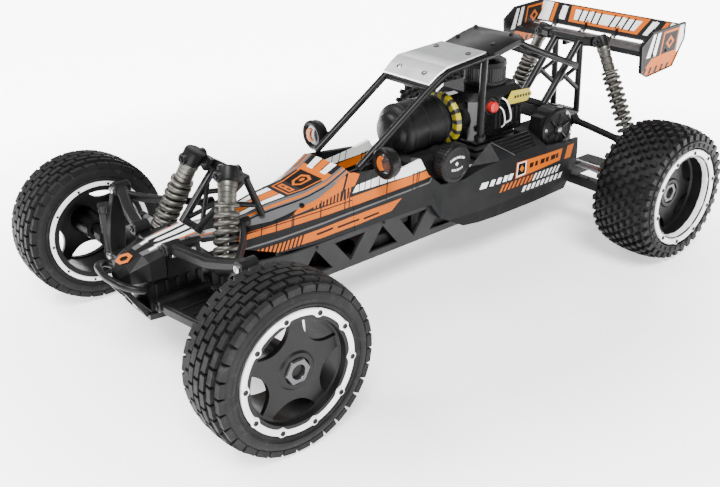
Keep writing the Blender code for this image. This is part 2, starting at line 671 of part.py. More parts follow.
# Upright of the front hub carrier: z, inner and outer x, front and back y
CARRIER_STATIONS = [
    (63.0, 124.0, 133.0, -320.0, -304.0),
    (84.0, 123.4, 131.0, -320.0, -304.0),
    (128.0, 123.4, 131.0, -312.0, -296.0),
    (153.0, 122.8, 132.0, -305.0, -290.0),
]


def make_front_corner(side, word):
    prefix = "front_" + word
    arm = loft([
        arm_section(side, 25.5, -344.0, -287.0, 77.0, 87.0),
        arm_section(side, 40.0, -344.0, -286.0, 73.5, 86.5),
        arm_section(side, 80.0, -334.0, -284.0, 70.0, 83.0),
        arm_section(side, 120.0, -322.0, -302.0, 66.5, 78.0),
    ])
    boss = loft([
        arm_section(side, 65.0, -297.0, -285.0, 78.0, 88.0),
        arm_section(side, 79.0, -297.0, -285.0, 78.0, 87.0),
    ])
    origin = left_or_right(FRONT_ARM_PIVOT, side)
    piece(prefix + "_lower_arm", SATIN_BLACK, [arm, boss], origin=origin, smooth=False)
    lead = mirrored([(33.0, -324.0, 141.0), (84.0, -309.0, 138.5), (118.0, -299.0, 146.5)], side)
    trail = mirrored([(33.0, -240.0, 143.5), (74.0, -266.0, 141.5), (113.0, -296.5, 145.0)], side)
    shapes = [tube(lead, 6.0), tube(trail, 4.2)]
    origin = left_or_right(FRONT_UPPER_PIVOT, side)
    piece(prefix + "_upper_arm", SATIN_BLACK, shapes, origin=origin)
    spine_rings = []
    for z, x_in, x_out, y_front, y_back in CARRIER_STATIONS:
        corners = [(x_in, y_front), (x_out, y_front), (x_out, y_back), (x_in, y_back)]
        spine_rings.append([(side * x, y, z) for x, y in corners])
    spine = loft(spine_rings)
    low_lug = rod((side * 143.0, FRONT_AXLE_Y, 63.5), (side * 143.0, FRONT_AXLE_Y, 72.0), 8.4)
    low_web = side_block(side, (128.0, -317.0, 64.2), (143.0, -307.0, 71.4))
    top_lug = rod((side * 143.0, FRONT_AXLE_Y, 119.5), (side * 143.0, FRONT_AXLE_Y, 128.0), 8.4)
    top_web = side_block(side, (127.0, -316.0, 120.2), (143.0, -306.0, 127.4))
    origin = left_or_right(FRONT_CARRIER_PIVOT, side)
    shapes = [spine, low_web, low_lug, top_web, top_lug]
    piece(prefix + "_hub_carrier", BLACK, shapes, origin=origin, smooth=False)
    barrel = rod((side * 143.0, FRONT_AXLE_Y, 72.6), (side * 143.0, FRONT_AXLE_Y, 118.9), 8.0, 14)
    stub_in, stub_out, spindle_in, spindle_out = (
        (side * x, FRONT_AXLE_Y, FRONT_TYRE_R) for x in (144.0, 221.0, 145.0, 160.0)
    )
    stub = rod(stub_in, stub_out, 6.6)
    spindle = rod(spindle_in, spindle_out, 11.5, 14)
    lever = side_block(side, (138.6, -306.0, 96.4), (147.4, -264.0, 103.6))
    origin = left_or_right(KINGPIN, side)
    piece(prefix + "_knuckle", SATIN_BLACK, [barrel, spindle, stub, lever], origin=origin)
    link = [(20.8, TIE_ROD_Y, TIE_ROD_Z), (134.0, TIE_ROD_Y, TIE_ROD_Z)]
    profile = [(0.0, 0.0), (0.0, 4.6), (9.0, 4.6), (12.0, 2.8)]
    profile += [(100.0, 2.8), (103.0, 4.6), (115.0, 4.6), (115.0, 0.0)]
    ends = turned(profile, left_or_right(link[0], side), (side, 0, 0), 12)
    piece(prefix + "_tie_rod", GREY_METAL, [ends], origin=left_or_right(link[0], side))
    make_wheel(prefix, side, FRONT_AXLE_Y, FRONT_TYRE_R, FRONT_TYRE_W, 8.0, 10.0)
    make_damper(prefix, side, FRONT_SHOCK_TOP, FRONT_SHOCK_EYE, FRONT_DAMPER)


# Rear corners ---------------------------------------------------------------------------------------------
def make_rear_corner(side, word):
    prefix = "rear_" + word
    arm = loft([
        arm_section(side, 30.0, 252.0, 330.0, 61.0, 71.0),
        arm_section(side, 48.0, 252.0, 330.0, 59.0, 71.5),
        arm_section(side, 110.0, 252.0, 330.0, 58.0, 70.5),
        arm_section(side, 126.0, 252.0, 322.0, 58.0, 69.5),
        arm_section(side, 128.4, 252.0, 278.0, 58.5, 69.0),
    ])
    boss = loft([
        arm_section(side, 110.5, 305.0, 319.0, 66.0, 82.5),
        arm_section(side, 123.5, 305.0, 319.0, 66.0, 82.0),
    ])
    window = loft([
        arm_section(side, 52.0, 262.0, 306.0, 50.0, 80.0),
        arm_section(side, 102.0, 264.0, 298.0, 50.0, 80.0),
    ])
    origin = left_or_right(REAR_ARM_PIVOT, side)
    piece(prefix + "_lower_arm", SATIN_BLACK, [arm, boss], [window], origin=origin, smooth=False)
    link = mirrored([(50.5, 266.0, 141.0), (125.0, 266.0, 131.0)], side)
    origin = left_or_right(REAR_LINK_PIVOT, side)
    piece(prefix + "_upper_link", SATIN_BLACK, [tube(link, 4.4)], origin=origin)
    spine = loft([
        [(side * x, y, 57.0) for x, y in ((130.6, 254.0), (143.0, 254.0), (143.0, 276.0), (130.6, 276.0))],
        [(side * x, y, 100.0) for x, y in ((131.0, 252.0), (143.0, 252.0), (143.0, 276.0), (131.0, 276.0))],
        [(side * x, y, 137.0) for x, y in ((130.0, 259.0), (139.0, 259.0), (139.0, 273.0), (130.0, 273.0))],
    ])
    hub_y = REAR_AXLE_Y
    sleeve = rod((side * 140.0, hub_y, REAR_TYRE_R), (side * 156.0, hub_y, REAR_TYRE_R), 13.0, 14)
    stub = rod((side * 141.0, hub_y, REAR_TYRE_R), (side * 202.0, hub_y, REAR_TYRE_R), 6.7)
    origin = left_or_right(REAR_CARRIER_PIVOT, side)
    piece(prefix + "_hub_carrier", BLACK, [spine, sleeve, stub], origin=origin)
    shaft_in = (side * 36.5, hub_y, REAR_TYRE_R)
    shaft = [(0.0, 0.0), (0.0, 8.5), (9.0, 8.5), (12.0, 4.5)]
    shaft += [(74.0, 4.5), (77.0, 8.5), (88.0, 8.5), (88.0, 0.0)]
    piece(prefix + "_drive_shaft", GREY_METAL, [turned(shaft, shaft_in, (side, 0, 0), 14)], origin=shaft_in)
    make_wheel(prefix, side, REAR_AXLE_Y, REAR_TYRE_R, REAR_TYRE_W, 24.0, 10.0)
    make_damper(prefix, side, REAR_SHOCK_TOP, REAR_SHOCK_EYE, REAR_DAMPER)


def main():
    clear_scene()
    make_chassis()
    make_front_bumper()
    make_front_bulkhead()
    make_front_tower()
    make_nose()
    make_hood()
    make_side_pods()
    make_roll_cage()
    make_roof()
    make_fuel_tank()
    make_fuel_cap()
    make_engine()
    make_kill_switch()
    make_gearbox()
    make_rear_tower()
    make_wing()
    make_steering()
    for side, word in ((1, "left"), (-1, "right")):
        make_front_corner(side, word)
        make_rear_corner(side, word)


main()
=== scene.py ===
"""Looks of the one-fifth scale buggy: materials, wheels, coils, trim, light and camera."""
from math import asin, atan2, cos, hypot, pi, radians, sin

import bmesh
import bpy
from mathutils import Matrix, Vector


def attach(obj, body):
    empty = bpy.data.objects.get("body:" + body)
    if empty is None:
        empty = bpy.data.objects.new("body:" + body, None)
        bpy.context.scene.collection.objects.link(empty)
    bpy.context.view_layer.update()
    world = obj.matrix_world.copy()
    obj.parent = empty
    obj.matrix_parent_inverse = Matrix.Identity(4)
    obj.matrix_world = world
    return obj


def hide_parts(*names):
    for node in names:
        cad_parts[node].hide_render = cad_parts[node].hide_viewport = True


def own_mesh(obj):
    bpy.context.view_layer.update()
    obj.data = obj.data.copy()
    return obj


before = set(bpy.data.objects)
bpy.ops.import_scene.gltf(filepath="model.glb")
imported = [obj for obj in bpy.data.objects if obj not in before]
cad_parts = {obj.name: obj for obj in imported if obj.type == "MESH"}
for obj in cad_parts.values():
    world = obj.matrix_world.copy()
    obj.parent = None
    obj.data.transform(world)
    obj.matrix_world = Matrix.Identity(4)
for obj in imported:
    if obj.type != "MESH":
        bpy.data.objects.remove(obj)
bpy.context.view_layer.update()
MM = 0.001
SIDES = ((1, "left"), (-1, "right"))

# Places shared with the frame, in millimetres ------------------------------------------
FRONT_AXLE = (-312.0, 86.0)
REAR_AXLE = (264.0, 84.0)
WHEEL_FACE_X = 227.0
FRONT_TYRE = (62.0, 86.0)
REAR_TYRE = (79.0, 84.0)
RIM_SEAT_R = 54.0
FRONT_SHOCK = ((34.0, -253.0, 200.0), (72.0, -291.0, 98.0))
REAR_SHOCK = ((49.0, 313.0, 236.0), (117.0, 312.0, 94.0))

# Colours ---------------------------------------------------------------------------------
ORANGE = (0.47, 0.098, 0.001)
WHITE = (0.80, 0.80, 0.79)
INK = (0.003, 0.003, 0.003)
CHARCOAL = (0.0065, 0.0065, 0.0068)
GREY_STRIPE = (0.085, 0.085, 0.088)
POD_GREY = (0.0085, 0.0087, 0.0092)
YELLOW = (0.34, 0.275, 0.0)


# Materials ---------------------------------------------------------------------------------
class Nodes:
    """Short ways to add shader nodes to one material."""

    def __init__(self, name):
        self.material = bpy.data.materials.new(name)
        self.material.use_nodes = True
        self.tree = self.material.node_tree
        self.shader = self.tree.nodes["Principled BSDF"]

    def add(self, kind, **settings):
        node = self.tree.nodes.new(kind)
        for key, value in settings.items():
            setattr(node, key, value)
        return node

    def link(self, out, into):
        self.tree.links.new(out, into)

    def put(self, socket, value):
        if isinstance(value, bpy.types.NodeSocket):
            self.link(value, socket)
        else:
            socket.default_value = value

    def math(self, operation, a, b=0.0):
        node = self.add("ShaderNodeMath", operation=operation)
        self.put(node.inputs[0], a)
        self.put(node.inputs[1], b)
        return node.outputs[0]

    def mix(self, factor, a, b):
        node = self.add("ShaderNodeMix", data_type="RGBA")
        self.put(node.inputs[0], factor)
        self.put(node.inputs[6], a if isinstance(a, bpy.types.NodeSocket) else (*a, 1.0))
        self.put(node.inputs[7], b if isinstance(b, bpy.types.NodeSocket) else (*b, 1.0))
        return node.outputs[2]

    def place(self):
        return self.add("ShaderNodeTexCoord").outputs["Object"]

    def noise(self, scale, detail=3.0, roughness=0.55):
        node = self.add("ShaderNodeTexNoise")
        node.inputs["Scale"].default_value = scale
        node.inputs["Detail"].default_value = detail
        node.inputs["Roughness"].default_value = roughness
        self.link(self.place(), node.inputs["Vector"])
        return node.outputs["Fac"]

    def spread(self, value, low, high, out_low, out_high):
        node = self.add("ShaderNodeMapRange")
        self.link(value, node.inputs[0])
        for i, number in enumerate((low, high, out_low, out_high)):
            node.inputs[i + 1].default_value = number
        return node.outputs[0]

    def bump(self, height, strength, distance):
        node = self.add("ShaderNodeBump")
        node.inputs["Strength"].default_value = strength
        node.inputs["Distance"].default_value = distance
        self.link(height, node.inputs["Height"])
        self.link(node.outputs[0], self.shader.inputs["Normal"])


def surface(name, colour, rough=0.45, metal=0.0, grain=900.0, bump=0.15, wear=0.12, coat=0.0, dust=0.0):
    """A plain finish with cloudy colour, uneven gloss and a fine grain."""
    made = Nodes(name)
    clouds = made.noise(22.0, 4.0)
    dark = tuple(c * (1.0 - wear) for c in colour)
    light = tuple(min(1.0, c * (1.0 + wear) + wear * 0.02) for c in colour)
    tone = made.mix(made.spread(clouds, 0.3, 0.7, 0.0, 1.0), dark, light)
    if dust:
        specks = made.spread(made.noise(160.0, 5.0), 0.56, 0.75, 0.0, dust)
        tone = made.mix(specks, tone, (0.25, 0.24, 0.22))
    made.link(tone, made.shader.inputs["Base Color"])
    made.shader.inputs["Metallic"].default_value = metal
    if max(colour) < 0.03:
        made.shader.inputs["Specular IOR Level"].default_value = 0.16
    smears = made.noise(45.0, 5.0, 0.65)
    made.link(made.spread(smears, 0.3, 0.7, rough * 0.85, min(1.0, rough * 1.18)), made.shader.inputs["Roughness"])
    if coat:
        made.shader.inputs["Coat Weight"].default_value = coat
        made.shader.inputs["Coat Roughness"].default_value = 0.12
    made.bump(made.noise(grain, 2.0), bump, 0.0004)
    return made.material


def inside(made, limits, x_folded=True):
    """1 where every plane a*x + b*y + c*z > d (millimetres) holds."""
    split = made.add("ShaderNodeSeparateXYZ")
    made.link(made.place(), split.inputs[0])
    x = made.math("ABSOLUTE", split.outputs[0]) if x_folded else split.outputs[0]
    joined = made.add("ShaderNodeCombineXYZ")
    for i, value in enumerate((x, split.outputs[1], split.outputs[2])):
        made.link(value, joined.inputs[i])
    result = None
    for a, b, c, d in limits:
        dot = made.add("ShaderNodeVectorMath", operation="DOT_PRODUCT")
        made.link(joined.outputs[0], dot.inputs[0])
        dot.inputs[1].default_value = (a, b, c)
        on = made.math("GREATER_THAN", dot.outputs["Value"], d * MM)
        result = on if result is None else made.math("MULTIPLY", result, on)
    return result


def stripe_area(made, area):
    """A painted area: a polygon in one of the planes, given by its corners.

    Each area is (plane, corners, extra limits); plane is "yz" or "xy", and the
    corners run round the polygon in either direction.
    """
    plane, corners, extra = area
    limits = list(extra)
    middle = [sum(c[k] for c in corners) / len(corners) for k in (0, 1)]
    for (u0, v0), (u1, v1) in zip(corners, corners[1:] + corners[:1]):
        length = hypot(u1 - u0, v1 - v0)
        nu, nv = (v0 - v1) / length, (u1 - u0) / length
        d = nu * u0 + nv * v0
        if nu * middle[0] + nv * middle[1] < d:
            nu, nv, d = -nu, -nv, -d
        limits.append((0.0, nu, nv, d) if plane == "yz" else (nu, nv, 0.0, d))
    return inside(made, limits)


def painted(name, base, areas, rough=0.36, coat=0.0):
    """A gloss finish with flat painted areas laid over the base in order."""
    made = Nodes(name)
    clouds = made.spread(made.noise(30.0, 4.0), 0.3, 0.7, 0.0, 1.0)
    tone = made.mix(clouds, tuple(c * 0.88 for c in base), tuple(c * 1.12 for c in base))
    for colour, area in areas:
        tone = made.mix(stripe_area(made, area), tone, colour)
    made.link(tone, made.shader.inputs["Base Color"])
    smears = made.noise(50.0, 5.0, 0.65)
    made.link(made.spread(smears, 0.3, 0.7, rough * 0.8, rough * 1.25), made.shader.inputs["Roughness"])
    made.shader.inputs["Specular IOR Level"].default_value = 0.12
    made.shader.inputs["Coat Weight"].default_value = coat
    made.shader.inputs["Coat Roughness"].default_value = 0.1
    made.bump(made.noise(700.0, 2.0), 0.06, 0.0003)
    return made.material


RUBBER = surface("tyre_rubber", (0.0045, 0.0045, 0.0046), 0.62, grain=420.0, bump=0.3, wear=0.2, dust=0.05)
KNOB_RUBBER = surface("knob_rubber", (0.0048, 0.0048, 0.0049), 0.55, grain=420.0, bump=0.3, wear=0.2, dust=0.03)
RIM_BLACK = surface("rim_plastic", (0.0040, 0.0040, 0.0042), 0.36, grain=800.0, bump=0.2)
RING_WHITE = surface("ring_paint", (0.80, 0.80, 0.80), 0.34, grain=600.0, bump=0.06, wear=0.04, coat=0.3)
FRAME_BLACK = surface("frame_coat", (0.0040, 0.0040, 0.0042), 0.3, grain=700.0, bump=0.16, wear=0.15)
NYLON = surface("moulded_black", (0.0036, 0.0036, 0.0038), 0.38, grain=520.0, bump=0.32, wear=0.18)
TANK_GREY = surface("tank_plastic", (0.0060, 0.0060, 0.0063), 0.42, grain=380.0, bump=0.25)
STEEL = surface("bright_steel", (0.55, 0.55, 0.56), 0.28, 1.0, grain=1500.0, bump=0.05)
SCREW = surface("dark_screw", (0.02, 0.02, 0.021), 0.35, 0.8, grain=900.0, bump=0.05)
GUNMETAL = surface("gunmetal", (0.11, 0.106, 0.094), 0.38, 0.9, grain=900.0, bump=0.06)
SPRING_WIRE = surface("spring_wire", (0.085, 0.081, 0.072), 0.42, 0.85, grain=800.0, bump=0.05)
CAST = surface("cast_metal", (0.12, 0.12, 0.122), 0.5, 0.8, grain=350.0, bump=0.4, wear=0.2)
HUB_GREY = surface("hub_nut", (0.09, 0.09, 0.093), 0.3, 0.85, grain=900.0, bump=0.08)


def brushed_plate_painted_highlight():
    """Brushed aluminium with a painted highlight: a bright strip along its front edge stands in for the light its
    forward facet reflects.
    """
    made = Nodes("brushed_plate_painted_highlight")
    split = made.add("ShaderNodeSeparateXYZ")
    made.link(made.place(), split.inputs[0])
    # painted highlight: towards the front edge the colour turns bright silver, where the forward facet catches the
    # light
    front = made.spread(split.outputs[1], 0.030, 0.062, 1.0, 0.0)
    clouds = made.spread(made.noise(26.0, 4.0), 0.3, 0.7, 0.0, 1.0)
    plain = made.mix(clouds, (0.21, 0.213, 0.22), (0.25, 0.253, 0.26))
    made.link(made.mix(front, plain, (0.82, 0.82, 0.83)), made.shader.inputs["Base Color"])
    made.shader.inputs["Metallic"].default_value = 0.75
    made.link(made.spread(made.noise(60.0, 5.0), 0.3, 0.7, 0.3, 0.42), made.shader.inputs["Roughness"])
    made.bump(made.noise(1200.0, 2.0), 0.08, 0.0004)
    return made.material


PLATE_SILVER_PAINTED_HIGHLIGHT = brushed_plate_painted_highlight()
PLATE_DARK = surface("dark_plate", (0.004, 0.004, 0.0042), 0.35, 0.0, grain=900.0, bump=0.1)
RED_PLASTIC = surface("red_button", (0.42, 0.010, 0.008), 0.3, grain=700.0, bump=0.08, coat=0.5)
YELLOW_PAINT = surface("yellow_label", YELLOW, 0.42, grain=600.0, bump=0.08)
ORANGE_PAINT = surface("orange_label", ORANGE, 0.36, grain=600.0, bump=0.06)
WHITE_LINE = surface("white_cord", (0.75, 0.75, 0.74), 0.5, grain=900.0, bump=0.1)
GLOSS_BLACK = surface("gloss_black", (0.0022, 0.0022, 0.0023), 0.14, grain=300.0, bump=0.04, coat=0.7)
LENS_SMOKE = surface("lamp_lens", (0.03, 0.03, 0.035), 0.08, grain=300.0, bump=0.02, coat=1.0)


# Meshes ---------------------------------------------------------------------------------------
def finish_piece(name, bm, material, body, smooth=35.0, bevel=0.0, replaces=()):
    """Turn a mesh in millimetres into a piece that rides on a body."""
    bmesh.ops.recalc_face_normals(bm, faces=bm.faces[:])
    bmesh.ops.scale(bm, vec=(MM, MM, MM), verts=bm.verts[:])
    mesh = bpy.data.meshes.new(name)
    bm.to_mesh(mesh)
    bm.free()
    mesh.materials.append(material)
    if smooth:
        mesh.shade_smooth()
        mesh.set_sharp_from_angle(angle=radians(smooth))
    item = bpy.data.objects.new(name, mesh)
    bpy.context.scene.collection.objects.link(item)
    if bevel:
        add_bevel(item, bevel)
    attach(item, body)
    if replaces:
        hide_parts(*replaces)
    return item


def add_bevel(item, width, segments=2):
    step = item.modifiers.new("edge", "BEVEL")
    step.width = width * MM
    step.segments = segments
    step.limit_method = "ANGLE"
    step.angle_limit = radians(32)
    step.harden_normals = False


def axes_for(direction):
    """Two unit vectors across a direction."""
    along = Vector(direction).normalized()
    helper = Vector((0, 0, 1)) if abs(along.z) < 0.9 else Vector((0, 1, 0))
    across = along.cross(helper).normalized()
    return along, across, along.cross(across).normalized()


def grid_faces(bm, rows, wrap_rows=False, wrap_cols=True):
    """Quads between rows of vertices; a row of one vertex is a tip."""
    pairs = list(zip(rows, rows[1:])) + ([(rows[-1], rows[0])] if wrap_rows else [])
    for row, nxt in pairs:
        count = max(len(row), len(nxt))
        for i in range(count if wrap_cols else count - 1):
            j = (i + 1) % count
            corners = [row[i % len(row)], row[j % len(row)], nxt[j % len(nxt)], nxt[i % len(nxt)]]
            unique = list(dict.fromkeys(corners))
            if len(unique) > 2:
                bm.faces.new(unique)


def add_turned(bm, profile, start, direction, segments=48, closed=False, radius_at=None):
    """Turn (distance, radius) points round an axis; a radius of 0 is a tip."""
    along, across, upward = axes_for(direction)
    rows = []
    for distance, radius in profile:
        centre = Vector(start) + along * distance
        if radius == 0.0:
            rows.append([bm.verts.new(centre)])
            continue
        row = []
        for i in range(segments):
            turn = 2 * pi * i / segments
            r = radius_at(distance, radius, i) if radius_at else radius
            row.append(bm.verts.new(centre + (across * cos(turn) + upward * sin(turn)) * r))
        rows.append(row)
    grid_faces(bm, rows, wrap_rows=closed)


def add_tube(bm, points, radius, sides=14, caps=True):
    """A bar of round section through points; radius may be one number or one per point."""
    path = [Vector(p) for p in points]
    radii = radius if isinstance(radius, (list, tuple)) else [radius] * len(path)
    _, across, _ = axes_for(path[1] - path[0])
    rows = []
    for i, point in enumerate(path):
        before = (point - path[i - 1]).normalized() if i else None
        after = (path[i + 1] - point).normalized() if i < len(path) - 1 else None
        tangent = ((before or after) + (after or before)).normalized()
        across = (across - tangent * across.dot(tangent)).normalized()
        upward = tangent.cross(across)
        ring = []
        for k in range(sides):
            turn = 2 * pi * k / sides
            ring.append(bm.verts.new(point + (across * cos(turn) + upward * sin(turn)) * radii[i]))
        rows.append(ring)
    grid_faces(bm, rows)
    if caps:
        bm.faces.new(rows[0][::-1])
        bm.faces.new(rows[-1])


def smooth_path(points, steps=6):
    """Points along a smooth curve through the given ones."""
    path = [Vector(p) for p in points]
    padded = [path[0] * 2 - path[1]] + path + [path[-1] * 2 - path[-2]]
    made = []
    for a, b, c, d in zip(padded, padded[1:], padded[2:], padded[3:]):
        for k in range(steps):
            t = k / steps
            made.append(0.5 * (2 * b + (c - a) * t + (2 * a - 5 * b + 4 * c - d) * t * t
                               + (3 * b - a - 3 * c + d) * t ** 3))
    made.append(path[-1])
    return made


def rounded_path(points, radius, steps=5):
    """A straight-sided path whose corners are rounded."""
    path = [Vector(p) for p in points]
    made = [path[0]]
    for before, corner, after in zip(path, path[1:], path[2:]):
        cut = min(radius, (before - corner).length * 0.45, (after - corner).length * 0.45)
        start = corner + (before - corner).normalized() * cut
        end = corner + (after - corner).normalized() * cut
        for k in range(steps + 1):
            t = k / steps
            made.append(start * (1 - t) ** 2 + corner * 2 * t * (1 - t) + end * t * t)
    made.append(path[-1])
    return made


def add_prism(bm, ring_a, ring_b):
    """A solid between two matching outlines."""
    a = [bm.verts.new(Vector(p)) for p in ring_a]
    b = [bm.verts.new(Vector(p)) for p in ring_b]
    grid_faces(bm, [a, b])
    bm.faces.new(a[::-1])
    bm.faces.new(b)


def add_box(bm, low, high):
    (x0, y0, z0), (x1, y1, z1) = low, high
    ring = [(x0, y0), (x1, y0), (x1, y1), (x0, y1)]
    add_prism(bm, [(x, y, z0) for x, y in ring], [(x, y, z1) for x, y in ring])


def add_plate(bm, outline, x0, x1):
    """A plate cut to a (y, z) outline between two x planes."""
    add_prism(bm, [(x0, y, z) for y, z in outline], [(x1, y, z) for y, z in outline])


def add_screw(bm, at, direction, radius=2.6, height=1.6):
    """A round screw head with a round socket."""
    profile = [(0.0, radius), (height * 0.75, radius), (height, radius * 0.82)]
    profile += [(height, radius * 0.5), (height * 0.35, radius * 0.5), (height * 0.35, 0.0)]
    add_turned(bm, profile, at, direction, 18)


def mirror(points, side):
    return [(p[0] * side, p[1], p[2]) for p in points]


def flip(point, side):
    return (point[0] * side, point[1], point[2])


# Wheels --------------------------------------------------------------------------------------------
def tread_block(bm, centre, angle, x, length, width, height, base_r, side, skew=0.0, taper=0.82):
    """One raised block on a tyre, standing out along its radius."""
    cx, cy, cz = centre
    rings = []
    for r, k in ((base_r - 2.0, 1.0), (base_r + height, taper)):
        ring = []
        for da, dx in ((-1, -1), (1, -1), (1, 1), (-1, 1)):
            turn = angle + (da * length * 0.5 * k + dx * skew) / base_r
            ring.append((cx + side * (x + dx * width * 0.5 * k), cy + r * sin(turn), cz + r * cos(turn)))
        rings.append(ring)
    add_prism(bm, rings[0], rings[1])


def crown(x, width, radius, drop):
    """Radius of the tread surface at a place across the tyre."""
    u = abs(x - width / 2) / (width / 2)
    return radius - drop * u ** 2.6


def tyre_carcass(bm, centre, side, width, radius, drop, depth):
    """Carcass with a bead, a ridged sidewall and a rounded shoulder."""
    outer = []
    seat, lip = RIM_SEAT_R + 0.4, 61.0
    top = radius - depth
    shoulder = crown(0.0, width, top, drop)
    sides = [(4.0, seat), (4.4, lip - 1.0), (1.2, lip + 0.8), (0.2, lip + 3.2), (0.9, lip + 4.4)]
    sides += [(0.4, lip + 5.4), (-0.6, lip + 9.0), (-0.7, shoulder - 9.0), (0.2, shoulder - 7.4)]
    sides += [(-0.3, shoulder - 6.2), (0.4, shoulder - 2.0), (1.8, shoulder)]
    outer += sides
    for k in range(1, 12):
        x = width * k / 12
        outer.append((x, crown(x, width, top, drop)))
    outer += [(width - x, r) for x, r in reversed(sides)]
    add_turned(bm, outer, centre, (side, 0, 0), 96, closed=True)


def front_tyre(side, word):
    width, radius = FRONT_TYRE
    centre = (side * (WHEEL_FACE_X - width), *FRONT_AXLE)
    bm = bmesh.new()
    depth, drop = 3.9, 6.0
    tyre_carcass(bm, centre, side, width, radius, drop, depth)
    rows = 7
    pitch_x = width / rows
    count = 32
    for row in range(rows):
        x = pitch_x * (row + 0.5)
        base = crown(x, width, radius - depth, drop)
        for i in range(count):
            angle = 2 * pi * (i + 0.5 * (row % 2)) / count
            long = 2 * pi * base / count
            tread_block(bm, centre, angle, x, long * 0.90, pitch_x * 0.80, depth, base, side, 0.0, 0.9)
    name = f"front_{word}_tyre"
    finish_piece(name + "_tread", bm, RUBBER, f"front_{word}_wheel", 30.0, replaces=(name,))


def rear_tyre(side, word):
    width, radius = REAR_TYRE
    centre = (side * (WHEEL_FACE_X - width), *REAR_AXLE)
    bm = bmesh.new()
    depth, drop = 5.2, 7.5
    tyre_carcass(bm, centre, side, width, radius, drop, depth)
    rows = 9
    pitch_x = (width + 1.0) / rows
    count = 36
    for row in range(rows):
        x = pitch_x * (row + 0.5) - 0.5
        base = crown(x, width, radius - depth, drop)
        for i in range(count):
            angle = 2 * pi * (i + 0.5 * (row % 2)) / count
            tread_block(bm, centre, angle, x, 7.6, 6.1, depth, base, side, 0.0, 0.74)
    for edge in (-1, 1):
        x = width / 2 + edge * (width / 2 - 0.4)
        for i in range(count):
            angle = 2 * pi * (i + 0.5) / count
            base = radius - depth - drop - 5.5
            cx, cy, cz = centre
            rings = []
            for out, k in ((0.0, 1.0), (2.2, 0.75)):
                ring = []
                for da, dr in ((-1, -1), (1, -1), (1, 1), (-1, 1)):
                    turn = angle + da * 3.0 * k / base
                    r = base + dr * 2.6 * k
                    ring.append((cx + side * (x + edge * out), cy + r * sin(turn), cz + r * cos(turn)))
                rings.append(ring)
            add_prism(bm, rings[0], rings[1])
    name = f"rear_{word}_tyre"
    finish_piece(name + "_tread", bm, KNOB_RUBBER, f"rear_{word}_wheel", 30.0, replaces=(name,))


def star_window(inner_r, outer_r, half_turn, power=2.2):
    """Outline of one opening between two pointed arms, as (across, out)."""
    tip_across, tip_out = outer_r * sin(half_turn), outer_r * cos(half_turn)
    outline = []
    for k in range(25):
        t = -1.0 + k / 12
        outline.append((tip_across * t, inner_r + (tip_out - inner_r) * abs(t) ** power))
    for k in range(1, 12):
        turn = half_turn * (1.0 - k / 6)
        outline.append((outer_r * sin(turn), outer_r * cos(turn)))
    return outline


def solid_object(bm):
    mesh = bpy.data.meshes.new("tool")
    bmesh.ops.recalc_face_normals(bm, faces=bm.faces[:])
    bm.to_mesh(mesh)
    bm.free()
    item = bpy.data.objects.new("tool", mesh)
    bpy.context.scene.collection.objects.link(item)
    return item


def carved(bm, cutters):
    """The mesh less its cutters, as a new bmesh."""
    base = solid_object(bm)
    tools = [solid_object(cutter) for cutter in cutters]
    for tool in tools:
        step = base.modifiers.new("cut", "BOOLEAN")
        step.operation = "DIFFERENCE"
        step.solver = "EXACT"
        step.object = tool
    bpy.context.view_layer.update()
    evaluated = base.evaluated_get(bpy.context.evaluated_depsgraph_get())
    result = bmesh.new()
    result.from_mesh(evaluated.to_mesh())
    evaluated.to_mesh_clear()
    for item in [base] + tools:
        bpy.data.objects.remove(item, do_unlink=True)
    return result


def wheel_disc(name, body, centre, side, width, dish, windows, phase, replaces):
    """Barrel, star disc with five openings and hub boss."""
    disc = width - dish
    barrel = RIM_SEAT_R - 4.0
    profile = [(0.6, 60.0), (3.2, 60.0), (3.6, RIM_SEAT_R), (width - 3.6, RIM_SEAT_R)]
    profile += [(width - 3.2, 59.6), (width - 0.8, 59.6), (width - 0.8, barrel + 1.0), (disc + 1.5, barrel)]
    profile += [(disc - 0.4, barrel - 3.0), (disc + 0.6, 30.0), (disc + 1.6, 19.0), (disc + 3.4, 17.0)]
    profile += [(disc + 3.4, 13.2), (disc + 0.4, 12.4), (disc + 0.4, 8.2)]
    profile += [(10.0, 8.2), (10.0, 13.0), (disc - 5.4, 16.0), (disc - 4.4, barrel), (0.6, barrel)]
    bm = bmesh.new()
    add_turned(bm, profile, centre, (side, 0, 0), 96, closed=True)
    cutters = []
    for i in range(5):
        turn = phase + radians(72) * i
        x0, x1 = centre[0] + side * (disc - 10.0), centre[0] + side * (disc + 8.0)
        outline = []
        for across, out in windows:
            y = centre[1] + across * cos(turn) + out * sin(turn)
            z = centre[2] - across * sin(turn) + out * cos(turn)
            outline.append((y, z))
        cutter = bmesh.new()
        add_plate(cutter, outline, x0, x1)
        cutters.append(cutter)
    finish_piece(name + "_star", carved(bm, cutters), RIM_BLACK, body, 32.0, bevel=0.7, replaces=replaces)


def ring_phase(side, phase):
    """The turn, as add_turned counts it, of a place named by its angle from the top."""
    _, across, upward = axes_for((side, 0, 0))
    spot = Vector((0.0, sin(phase), cos(phase)))
    return atan2(spot.dot(upward), spot.dot(across))


